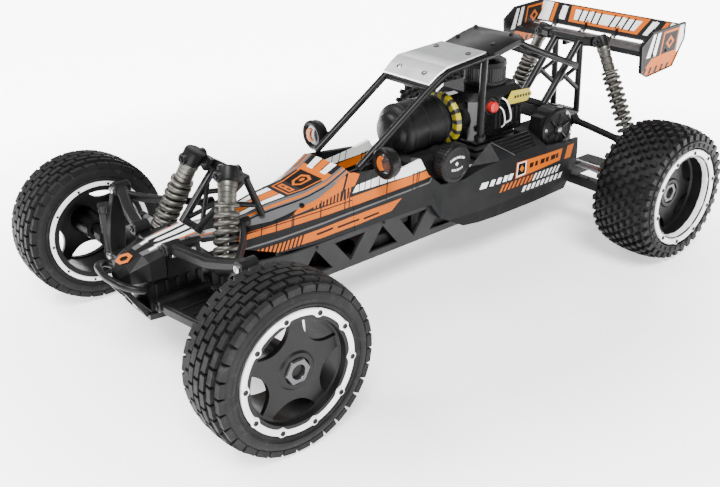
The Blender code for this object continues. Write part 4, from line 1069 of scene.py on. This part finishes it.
def nose_paint():
    top = [(0.0, 0.0, 1.0, 129.4)]
    areas = [(GREY_STRIPE, ("xy", [(4.0, -345.0), (12.0, -345.0), (29.0, -249.0), (13.0, -249.0)], top)),
             (WHITE, ("xy", [(7.0, -336.0), (11.0, -336.0), (17.0, -262.0), (10.0, -262.0)], top)),
             (WHITE, ("xy", [(0.0, -326.0), (2.6, -322.0), (5.0, -268.0), (0.0, -268.0)], top)),
             (ORANGE, ("xy", [(12.6, -318.0), (14.4, -318.0), (20.0, -262.0), (17.6, -262.0)], top))]
    return painted("nose_paint", CHARCOAL, areas)


def wing_paint():
    """Orange and white shapes on the planes, framed panels on the end plates."""
    made = []
    inner = [(-1.0, 0.0, 0.0, -112.0)]
    flap = inner + [(0.0, 0.0, 1.0, 230.5)]
    made.append((WHITE, ("xy", [(92.0, 374.0), (112.0, 374.0), (112.0, 398.0), (100.0, 398.0)], flap)))
    made.append((ORANGE, ("xy", [(84.0, 374.0), (90.0, 374.0), (98.0, 398.0), (92.0, 398.0)], flap)))
    made.append((ORANGE, ("xy", [(0.0, 377.0), (58.0, 377.0), (66.0, 394.0), (0.0, 394.0)], flap)))
    made.append((WHITE, ("xy", [(0.0, 380.0), (51.0, 380.0), (56.0, 390.5), (0.0, 390.5)], flap)))
    for k, x in enumerate((8.0, 19.0, 30.0, 41.0)):
        made.append((INK, ("xy", [(x, 379.0), (x + 3.0, 379.0), (x + 5.0, 392.0), (x + 2.0, 392.0)], flap)))
    made.append((WHITE, ("xy", [(66.0, 378.0), (76.0, 378.0), (81.0, 392.0), (71.0, 392.0)], flap)))
    low = inner + [(0.0, 0.0, -1.0, -230.4)]
    made.append((WHITE, ("xy", [(0.0, 364.5), (112.0, 364.5), (112.0, 367.5), (0.0, 367.5)], low)))
    out = [(1.0, 0.0, 0.0, 112.6)]

    def plate(colour, *corners):
        made.append((colour, ("yz", corners, out)))

    plate(ORANGE, (304.0, 200.0), (388.0, 206.0), (392.0, 226.0), (330.0, 222.0))
    plate(WHITE, (318.0, 224.0), (338.0, 224.0), (346.0, 253.0), (330.0, 252.0))
    plate(INK, (326.0, 222.0), (330.0, 222.0), (340.0, 254.0), (336.0, 254.0))
    plate(WHITE, (376.0, 222.0), (398.0, 222.0), (398.0, 256.0), (386.0, 255.0))
    plate(ORANGE, (346.0, 221.0), (382.0, 222.0), (386.0, 253.5), (352.0, 252.4))
    plate(INK, (349.0, 224.0), (379.5, 225.0), (383.0, 250.6), (354.5, 249.6))
    plate(ORANGE, (358.0, 237.0), (366.0, 229.0), (376.0, 237.6), (368.0, 246.0))
    plate(INK, (362.6, 237.2), (366.6, 233.0), (371.6, 237.5), (367.6, 241.8))
    for k in range(5):
        y = 312.0 + 12.0 * k
        plate(INK, (y, 203.0), (y + 5.0, 203.0), (y + 9.0, 211.0), (y + 4.0, 211.0))
    return painted("wing_paint", CHARCOAL, made, rough=0.42)


# Which finish each solid of the frame takes, and how wide its softened edges are --------------------------
CAD_LOOKS = {
    "chassis_tray": (surface("tray_coat", (0.022, 0.022, 0.023), 0.36, 0.2, grain=500.0, bump=0.2, wear=0.15), 0.8),
    "front_bulkhead": (NYLON, 1.6),
    "nose_cover": (nose_paint(), 1.4),
    "hood_shell": (hood_paint(), 0.7),
    "side_pod_left": (pod_paint(), 1.0),
    "rear_wing": (wing_paint(), 0.5),
    # the roof plate carries a painted highlight along its front edge
    "roof_plate": (PLATE_SILVER_PAINTED_HIGHLIGHT, 0.5),
    "rear_roof_plate": (PLATE_DARK, 0.6),
    "fuel_tank": (TANK_GREY, 1.6),
    "engine_block": (CAST, 0.9),
    "engine_shroud": (GLOSS_BLACK, 2.0),
    "gearbox_case": (NYLON, 2.0),
    "gear_cover": (NYLON, 1.0),
    "steering_servo": (NYLON, 1.6),
    "steering_rack": (GUNMETAL, 0.8),
    "kill_switch": (RED_PLASTIC, 0.9),
    "fuel_cap": (NYLON, 0.6),
}
CAD_LOOKS["side_pod_right"] = CAD_LOOKS["side_pod_left"]
REST_LOOKS = ((("_knuckle",), NYLON, 0.8), (("_tie_rod",), STEEL, 0.4), (("_hub_carrier",), NYLON, 1.0),
              (("_lower_arm", "_upper_arm", "_upper_link"), NYLON, 0.9))


def dress_frame():
    for node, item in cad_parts.items():
        look = CAD_LOOKS.get(node)
        if look is None:
            for endings, material, width in REST_LOOKS:
                if node.endswith(endings):
                    look = (material, width)
        if look is None:
            look = (FRAME_BLACK, 0.6)
        item.data.materials.clear()
        item.data.materials.append(look[0])
        add_bevel(item, look[1])
        item.data.shade_smooth()
        item.data.set_sharp_from_angle(angle=radians(34))


dress_frame()


# Trim on the body and engine -------------------------------------------------------------------------------
def hex_mark():
    """A raised six-sided ring on the nose."""
    bm = bmesh.new()
    centre, tilt = (0.0, -359.5), 0.28
    rows = []
    for radius, lift in ((9.4, 0.0), (9.4, 1.0), (5.0, 1.0), (5.0, 0.0)):
        row = []
        for i in range(6):
            turn = pi / 3 * i
            x = radius * cos(turn)
            y = centre[1] + radius * 0.9 * sin(turn)
            z = 128.2 + (y - centre[1]) * tilt + lift
            row.append(bm.verts.new((x, y, z)))
        rows.append(row)
    grid_faces(bm, rows, wrap_rows=True)
    finish_piece("nose_mark", bm, ORANGE_PAINT, "chassis", 0.0, bevel=0.2)


def body_screws():
    bm = bmesh.new()
    for side in (1, -1):
        add_screw(bm, (side * 35.0, -167.0, 139.6), (0.45 * side, -0.12, 0.9), 3.2, 1.8)
        add_screw(bm, (side * 20.0, -298.0, 137.6), (0, 0, 1), 3.0, 1.6)
        for y, z in ((24.0, 245.2), (89.0, 256.5)):
            x = 21.4 if y < 50 else 27.0
            add_turned(bm, [(0.0, 2.3), (0.0, 3.4), (0.7, 3.4), (0.7, 2.3)], (side * x, y, z), (0, -0.25, 1), 20, True)
        for y in (-180.0, -84.0, 12.0):
            add_screw(bm, (side * 47.0, y + 22.0, 91.5), (side, 0, 0), 1.9, 1.0)
        for y in (128.0, 160.0):
            add_screw(bm, (side * 30.0, y, 261.6 if y < 140 else 268.4), (0, -0.2, 1), 2.6, 1.4)
        for y, z in ((318.0, 228.0), (330.0, 228.5)):
            add_screw(bm, (side * 12.0, y, z), (0, 0, 1), 2.4, 1.4)
        for y, z in ((330.0, 225.6), (360.0, 227.0)):
            add_screw(bm, (side * 116.0, y, z), (side, 0, 0), 2.2, 1.2)
    finish_piece("body_screws", bm, SCREW, "chassis", 35.0)


# Roof cowl: y, z of the top, half widths of the top and of the skirt, z of the skirt's lower edge
COWL_STATIONS = [
    (109.5, 256.9, 33.0, 41.5, 254.9), (117.0, 258.6, 34.0, 42.5, 252.8), (130.0, 261.7, 35.0, 43.0, 251.8),
    (150.0, 265.8, 35.0, 43.0, 256.2), (162.0, 268.0, 34.5, 43.0, 259.4), (170.0, 266.6, 33.5, 42.0, 260.0),
    (174.0, 263.6, 33.0, 41.0, 259.6),
]


def roof_cowl():
    """Moulded cowl behind the roof plate, with a skirt down each side."""
    bm = bmesh.new()
    rows = []
    for y, z, half, out, skirt in COWL_STATIONS:
        outer = [(out, skirt), (out - 0.6, z - 4.4), (half, z)]
        inner = [(half - 0.5, z - 1.8), (out - 2.4, z - 5.4), (out - 1.8, skirt)]
        ring = outer + [(-x, h) for x, h in outer[::-1]] + [(-x, h) for x, h in inner[::-1]] + inner
        rows.append([bm.verts.new((x, y, h)) for x, h in ring])
    grid_faces(bm, rows)
    bm.faces.new(rows[0][::-1])
    bm.faces.new(rows[-1])
    finish_piece("roof_cowl", bm, PLATE_DARK, "chassis", 40.0, bevel=0.4, replaces=("rear_roof_plate",))


def pod_louvres():
    """Raised ribs on the sloping top of each side pod."""
    bm = bmesh.new()
    for side in (1, -1):
        for k in range(5):
            t = 0.10 + 0.2 * k
            front = (side * (49.0 + 17.5 * t), 112.0 + 5.0 * k, 147.2 - 19.0 * t)
            back = (side * (51.0 + 17.0 * t), 172.0, 148.2 - 17.0 * t)
            add_tube(bm, [front, back], 1.5, 10)
        add_tube(bm, [(side * 50.0, 110.0, 146.8), (side * 67.4, 134.0, 129.6)], 1.7, 10)
    finish_piece("pod_louvres", bm, GLOSS_BLACK, "chassis", 40.0)


def tank_trim():
    bm = bmesh.new()
    dome = [(-11.0, 0.0), (-10.2, 10.0), (-8.0, 17.5), (-4.5, 22.5), (0.0, 25.2), (2.0, 25.2), (2.0, 0.0)]
    add_turned(bm, dome, (0.0, -8.0, 176.0), (0, 1, 0), 56)
    finish_piece("tank_dome", bm, NYLON, "chassis", 40.0)
    bm = bmesh.new()
    for y in (0.0, 25.0, 50.0):
        add_turned(bm, [(0.0, 30.4), (0.0, 31.8), (0.6, 32.3), (3.4, 32.3), (4.0, 31.8), (4.0, 30.4)],
                   (0.0, y, 176.0), (0, 1, 0), 72, True)
    for side in (1, -1):
        add_box(bm, (side * 42.4 - 1.2, 4.0, 66.0), (side * 42.4 + 1.2, 8.0, 148.0))
    finish_piece("tank_straps", bm, TANK_GREY, "chassis", 35.0)
    skin = bmesh.new()
    outline = [(0.0, 24.0), (1.2, 26.5), (4.0, 30.2), (6.0, 31.6), (60.0, 31.6), (66.0, 31.2), (66.0, 24.0)]
    add_turned(skin, outline, (0.0, -8.0, 176.0), (0, 1, 0), 72, True)
    finish_piece("tank_drum", skin, TANK_GREY, "chassis", 40.0)


def cap_trim():
    """Ribbed grip and a plain marked face on the fuel cap."""
    at = (53.5, 32.6, 144.4)
    bm = bmesh.new()

    def ribbed(distance, radius, i):
        return radius + (0.7 if i % 4 < 2 and radius > 22.0 else 0.0)

    outline = [(0.0, 0.0), (0.0, 22.4), (1.0, 23.0), (13.0, 23.0), (15.2, 21.4), (15.8, 20.0), (15.8, 18.4), (15.0, 17.8),
               (15.0, 0.0)]
    add_turned(bm, outline, at, (1, 0, 0), 144, radius_at=ribbed)
    finish_piece("cap_grip", bm, NYLON, "fuel_cap", 30.0, replaces=("fuel_cap",))
    marks = bmesh.new()
    x0, x1 = at[0] + 14.6, at[0] + 15.3
    for k in range(9):
        y = at[1] - 10.5 + 2.6 * k
        half = 1.0 if k % 3 else 0.7
        add_box(marks, (x0, y, at[2] + 6.2 - 0.15 * (k - 4) ** 2), (x1, y + half * 1.6, at[2] + 9.0 - 0.15 * (k - 4) ** 2))
        if 0 < k < 8:
            add_box(marks, (x0, y, at[2] - 8.8 + 0.15 * (k - 4) ** 2), (x1, y + half * 1.4, at[2] - 6.2 + 0.15 * (k - 4) ** 2))
    add_prism(marks, [(x0, at[1] + a, at[2] + b) for a, b in ((-2.6, 0), (0, 2.6), (2.6, 0), (0, -2.6))],
              [(x1, at[1] + a, at[2] + b) for a, b in ((-2.6, 0), (0, 2.6), (2.6, 0), (0, -2.6))])
    finish_piece("cap_marks", marks, WHITE_LINE, "fuel_cap", 0.0)


def engine_trim():
    ring = bmesh.new()
    add_turned(ring, [(-2.6, 23.0), (-3.2, 24.0), (-3.2, 31.0), (-1.6, 32.6), (3.0, 33.2), (3.6, 32.4), (3.6, 23.0)],
               (0.0, 72.0, 174.0), (0, 1, 0), 72, True)
    made = Nodes("yellow_and_black_ring")
    split = made.add("ShaderNodeSeparateXYZ")
    made.link(made.place(), split.inputs[0])
    up = made.math("SUBTRACT", split.outputs[2], 0.174)
    turn = made.math("ARCTAN2", up, split.outputs[0])
    wave = made.math("SINE", made.math("MULTIPLY", turn, 15.0))
    stripes = made.math("GREATER_THAN", wave, 0.25)
    tone = made.mix(stripes, YELLOW, INK)
    made.link(tone, made.shader.inputs["Base Color"])
    made.shader.inputs["Roughness"].default_value = 0.38
    made.bump(made.noise(500.0, 3.0), 0.12, 0.0004)
    finish_piece("starter_ring", ring, made.material, "chassis", 40.0)
    plate = bmesh.new()
    add_turned(plate, [(-5.0, 0.0), (-5.0, 8.0), (-3.0, 10.0), (-2.4, 23.4), (1.0, 23.4), (1.0, 0.0)],
               (0.0, 72.0, 174.0), (0, 1, 0), 48)
    for k in range(12):
        turn = 2 * pi * k / 12
        for r0, r1 in ((12.0, 21.5),):
            a, b = cos(turn), sin(turn)
            add_tube(plate, [(a * r0, 68.6, 174.0 + b * r0), (a * r1, 69.2, 174.0 + b * r1)], 1.3, 8)
    finish_piece("starter_face", plate, NYLON, "chassis", 35.0)
    fins = bmesh.new()
    for side in (1, -1):
        for k in range(7):
            y = 128.0 + 7.4 * k
            low, high = sorted((side * 36.6, side * 38.6))
            add_box(fins, (low, y, 156.0), (high, y + 3.2, 178.0))
        for k in range(4):
            low, high = sorted((side * 36.4, side * 38.2))
            add_box(fins, (low, 98.0, 156.0 + 7.0 * k), (high, 111.0, 159.0 + 7.0 * k))
    finish_piece("shroud_louvres", fins, NYLON, "chassis", 0.0, bevel=0.4)
    filter_skin = bmesh.new()

    def pleated(distance, radius, i):
        return radius + (0.9 if i % 2 else 0.0)

    add_turned(filter_skin, [(6.0, 24.0), (6.0, 25.2), (23.0, 25.2), (23.0, 24.0)], (0.0, 148.0, 205.0), (0, 0, 1), 96,
               True, pleated)
    finish_piece("filter_pleats", filter_skin, FRAME_BLACK, "chassis", 20.0)
    lid = bmesh.new()
    add_turned(lid, [(23.0, 0.0), (23.0, 26.4), (24.0, 27.0), (29.0, 26.0), (32.4, 19.0), (33.0, 6.0), (33.0, 0.0)],
               (0.0, 148.0, 205.0), (0, 0, 1), 56)
    add_turned(lid, [(1.0, 0.0), (1.0, 26.4), (5.0, 26.4), (6.0, 25.4), (6.0, 0.0)], (0.0, 148.0, 205.0), (0, 0, 1), 56)
    finish_piece("filter_lid", lid, NYLON, "chassis", 35.0)
    bezel = bmesh.new()
    add_turned(bezel, [(0.0, 7.9), (0.0, 10.6), (1.6, 10.2), (2.2, 9.2), (2.2, 7.9)], (36.9, 119.0, 188.0), (1, 0, 0), 40, True)
    finish_piece("switch_bezel", bezel, NYLON, "chassis", 35.0)
    tag = bmesh.new()
    outline = [(143.0, 189.0), (150.0, 184.5), (181.0, 183.0), (190.5, 190.0), (184.0, 198.5), (152.0, 201.0)]
    add_plate(tag, outline, 41.0, 42.0)
    finish_piece("yellow_tag", tag, YELLOW_PAINT, "chassis", 0.0, bevel=0.3)
    tag_marks = bmesh.new()
    for k in range(6):
        y = 157.0 + 5.0 * k
        z = 191.0 - (y - 157.0) * 0.05
        add_plate(tag_marks, [(y, z), (y + 3.0, z - 0.4), (y + 3.2, z + 3.0), (y + 0.2, z + 3.4)], 41.8, 42.3)
    add_box(tag_marks, (36.8, 166.0, 193.0), (41.4, 170.0, 197.0))
    finish_piece("tag_marks", tag_marks, FRAME_BLACK, "chassis", 0.0)
    wires = bmesh.new()
    add_tube(wires, smooth_path([(36.6, 150.0, 160.0), (43.0, 150.5, 166.0), (45.0, 147.0, 178.0), (42.5, 143.0, 190.0),
                                 (37.4, 140.0, 194.0)]), 1.1, 10)
    add_tube(wires, smooth_path([(36.6, 142.0, 156.0), (42.0, 141.0, 162.0), (43.5, 139.0, 172.0), (41.0, 138.0, 180.0),
                                 (37.0, 137.0, 183.0)]), 0.9, 10)
    finish_piece("throttle_wires", wires, WHITE_LINE, "chassis", 50.0)
    plug = bmesh.new()
    add_turned(plug, [(0.0, 0.0), (0.0, 7.0), (6.0, 6.4), (14.0, 5.0), (19.0, 4.4), (20.0, 3.0), (20.0, 0.0)],
               (-20.0, 186.0, 196.0), (0, 0.7, 0.7), 24)
    finish_piece("plug_cap", plug, NYLON, "chassis", 40.0)


def gear_trim():
    y, z = 222.0, 140.0
    bm = bmesh.new()
    add_turned(bm, [(18.0, 26.0), (18.0, 28.0), (24.4, 28.0), (26.6, 25.0), (26.6, 22.4), (25.4, 21.6), (25.4, 20.0), (18.0, 20.0)],
               (35.0, y, z), (1, 0, 0), 64, True)
    add_turned(bm, [(22.0, 0.0), (26.6, 0.0)][:0] or [(24.0, 0.0), (24.0, 7.0), (27.6, 7.0), (28.4, 6.0), (28.4, 0.0)],
               (35.0, y, z), (1, 0, 0), 32)
    for k in range(6):
        turn = pi / 3 * k + 0.3
        add_tube(bm, [(61.0, y + 8 * cos(turn), z + 8 * sin(turn)), (61.0, y + 20 * cos(turn), z + 20 * sin(turn))], 1.7, 10)
    finish_piece("gear_cover_rim", bm, FRAME_BLACK, "chassis", 35.0)
    trim = bmesh.new()
    for k in range(3):
        turn = 2 * pi * k / 3 + 0.9
        add_screw(trim, (61.0, y + 24.2 * cos(turn), z + 24.2 * sin(turn)), (1, 0, 0), 2.3, 1.8)
    add_screw(trim, (63.0, y, z), (1, 0, 0), 3.6, 2.0)
    for side in (1, -1):
        for yy, zz in ((238.0, 70.0), (292.0, 70.0), (238.0, 112.0), (292.0, 112.0)):
            add_screw(trim, (side * 25.4, yy, zz), (side, 0, 0), 2.8, 1.6)
        add_screw(trim, (side * 42.0, 262.0, 136.0), (0, -1, 0), 3.2, 1.8)
    finish_piece("gear_screws", trim, STEEL, "chassis", 35.0)
    ribs = bmesh.new()
    for side in (1, -1):
        for k in range(4):
            yy = 240.0 + 14.0 * k
            low, high = sorted((side * 25.2, side * 27.2))
            add_box(ribs, (low, yy, 76.0), (high, yy + 3.0, 108.0))
    for k in range(3):
        add_box(ribs, (-20.0, 298.0, 74.0 + 14.0 * k), (20.0, 302.4, 78.0 + 14.0 * k))
    finish_piece("gearbox_ribs", ribs, NYLON, "chassis", 0.0, bevel=0.5)


def bulkhead_trim():
    bm = bmesh.new()
    for side in (1, -1):
        for y in (-340.0, -328.0, -316.0, -304.0, -292.0):
            low, high = sorted((side * 19.0, side * 22.0))
            add_box(bm, (low, y, 76.0), (high, y + 3.0, 102.0))
        for y, z in ((-318.0, 128.0), (-296.0, 128.0)):
            add_turned(bm, [(0.0, 0.0), (0.0, 5.0), (1.6, 5.0), (2.4, 4.0), (2.4, 0.0)], (side * 23.8, y, z), (side, 0, 0), 24)
    finish_piece("bulkhead_ribs", bm, NYLON, "chassis", 35.0, bevel=0.4)
    trim = bmesh.new()
    for side in (1, -1):
        for y, z in ((-318.0, 128.0), (-296.0, 128.0)):
            add_screw(trim, (side * 26.0, y, z), (side, 0, 0), 2.6, 1.4)
        for y in (-330.0, -290.0):
            add_screw(trim, (side * 12.0, y, 70.4), (0, 0, -1), 2.4, 1.0)
    finish_piece("bulkhead_screws", trim, STEEL, "chassis", 35.0)


def wing_trim():
    """Raised frame round each end plate and a dark edge on the flap."""
    plate = [(308.5, 207.0), (322.0, 199.5), (376.0, 204.0), (398.0, 237.0), (397.2, 258.0), (327.5, 255.0), (305.5, 240.7)]
    bm = bmesh.new()
    centre = (352.0, 230.0)
    for side in (1, -1):
        rows = []
        for scale, x in ((1.0, 115.8), (1.0, 117.2), (0.955, 117.2), (0.955, 115.8)):
            row = [bm.verts.new((side * x, centre[0] + (y - centre[0]) * scale, centre[1] + (z - centre[1]) * scale))
                   for y, z in plate]
            rows.append(row)
        grid_faces(bm, rows, wrap_rows=True)
    add_tube(bm, [(-112.5, 395.2, 253.8), (112.5, 395.2, 253.8)], 1.5, 10)
    finish_piece("wing_edges", bm, FRAME_BLACK, "chassis", 0.0, bevel=0.3)


def receiver_box():
    bm = bmesh.new()
    add_box(bm, (-26.0, -150.0, 56.6), (26.0, -108.0, 84.0))
    add_box(bm, (-22.0, -146.0, 84.0), (22.0, -112.0, 87.0))
    finish_piece("receiver_box", bm, NYLON, "chassis", 35.0, bevel=1.5)
    seat = bmesh.new()
    add_box(seat, (-38.0, -98.0, 56.4), (38.0, -26.0, 74.0))
    add_box(seat, (-36.0, -30.0, 74.0), (36.0, -14.0, 100.0))
    finish_piece("seat_box", seat, NYLON, "chassis", 35.0, bevel=2.0)


hex_mark()
body_screws()
pod_louvres()
roof_cowl()
tank_trim()
cap_trim()
engine_trim()
gear_trim()
bulkhead_trim()
wing_trim()
receiver_box()


# Studio ------------------------------------------------------------------------------------------------------
CAMERA_AT = (0.794, -0.695, 0.539)
CAMERA_TURN = (51.37, 25.81, -1.68)
LENS_MM = 46.85
# the floor glows: dim near the car and bright further out, painted shade round the car
FLOOR_GLOW = 7.0
FLOOR_NEAR, FLOOR_FAR = 0.30, 0.85


def floor():
    bm = bmesh.new()
    rows = []
    for i in range(25):
        rows.append([bm.verts.new((-18.0 + 36.0 * j / 24, -18.0 + 36.0 * i / 24, -0.0005)) for j in range(25)])
    grid_faces(bm, rows, wrap_cols=False)
    mesh = bpy.data.meshes.new("floor")
    bm.to_mesh(mesh)
    bm.free()
    made = Nodes("pale_floor_painted_shade")
    tone = made.mix(made.noise(3.0, 2.0), (0.86, 0.86, 0.86), (0.90, 0.90, 0.90))
    made.link(tone, made.shader.inputs["Base Color"])
    made.shader.inputs["Roughness"].default_value = 0.6
    made.shader.inputs["Emission Color"].default_value = (1.0, 1.0, 1.0, 1.0)
    # painted shade and glow: emission grows with distance from the car, from 0.9 within FLOOR_NEAR to FLOOR_GLOW beyond
    # FLOOR_FAR
    reach = made.add("ShaderNodeVectorMath", operation="LENGTH")
    made.link(made.place(), reach.inputs[0])
    glow_with_painted_shade = made.spread(reach.outputs["Value"], FLOOR_NEAR, FLOOR_FAR, 0.9, FLOOR_GLOW)
    made.link(glow_with_painted_shade, made.shader.inputs["Emission Strength"])
    mesh.materials.append(made.material)
    item = bpy.data.objects.new("floor", mesh)
    bpy.context.scene.collection.objects.link(item)


def area_light(name, at, toward, size, power):
    light = bpy.data.lights.new(name, "AREA")
    light.shape = "RECTANGLE"
    light.size, light.size_y = size
    light.energy = power
    item = bpy.data.objects.new(name, light)
    item.location = at
    item.rotation_euler = (Vector(toward) - Vector(at)).to_track_quat("-Z", "Y").to_euler()
    bpy.context.scene.collection.objects.link(item)


def studio():
    floor()
    world = bpy.data.worlds.new("studio")
    world.use_nodes = True
    world.node_tree.nodes["Background"].inputs[0].default_value = (1.0, 1.0, 1.0, 1.0)
    world.node_tree.nodes["Background"].inputs[1].default_value = 0.34
    bpy.context.scene.world = world
    sun = bpy.data.lights.new("sky_panel", "SUN")
    sun.energy = 6.5
    sun.angle = radians(26.0)
    item = bpy.data.objects.new("sky_panel", sun)
    item.rotation_euler = Vector((0.50, -0.30, 0.85)).to_track_quat("Z", "Y").to_euler()
    bpy.context.scene.collection.objects.link(item)
    area_light("key", (-0.7, -0.9, 1.5), (0.0, 0.0, 0.1), (0.9, 0.5), 30.0)
    area_light("back", (-1.1, 1.4, 1.3), (0.0, 0.0, 0.1), (1.6, 0.8), 12.0)


def camera():
    azimuth, elevation, roll = (radians(v) for v in CAMERA_TURN)
    back = Vector((sin(azimuth) * cos(elevation), -cos(azimuth) * cos(elevation), sin(elevation)))
    right = Vector((cos(azimuth), sin(azimuth), 0.0))
    up = back.cross(right)
    right_rolled = right * cos(roll) + up * sin(roll)
    up_rolled = up * cos(roll) - right * sin(roll)
    data = bpy.data.cameras.new("view")
    data.sensor_width = 36.0
    data.lens = LENS_MM
    data.clip_end = 80.0
    item = bpy.data.objects.new("view", data)
    place = Matrix((right_rolled, up_rolled, back)).transposed().to_4x4()
    place.translation = Vector(CAMERA_AT)
    item.matrix_world = place
    bpy.context.scene.collection.objects.link(item)
    bpy.context.scene.camera = item


studio()
camera()
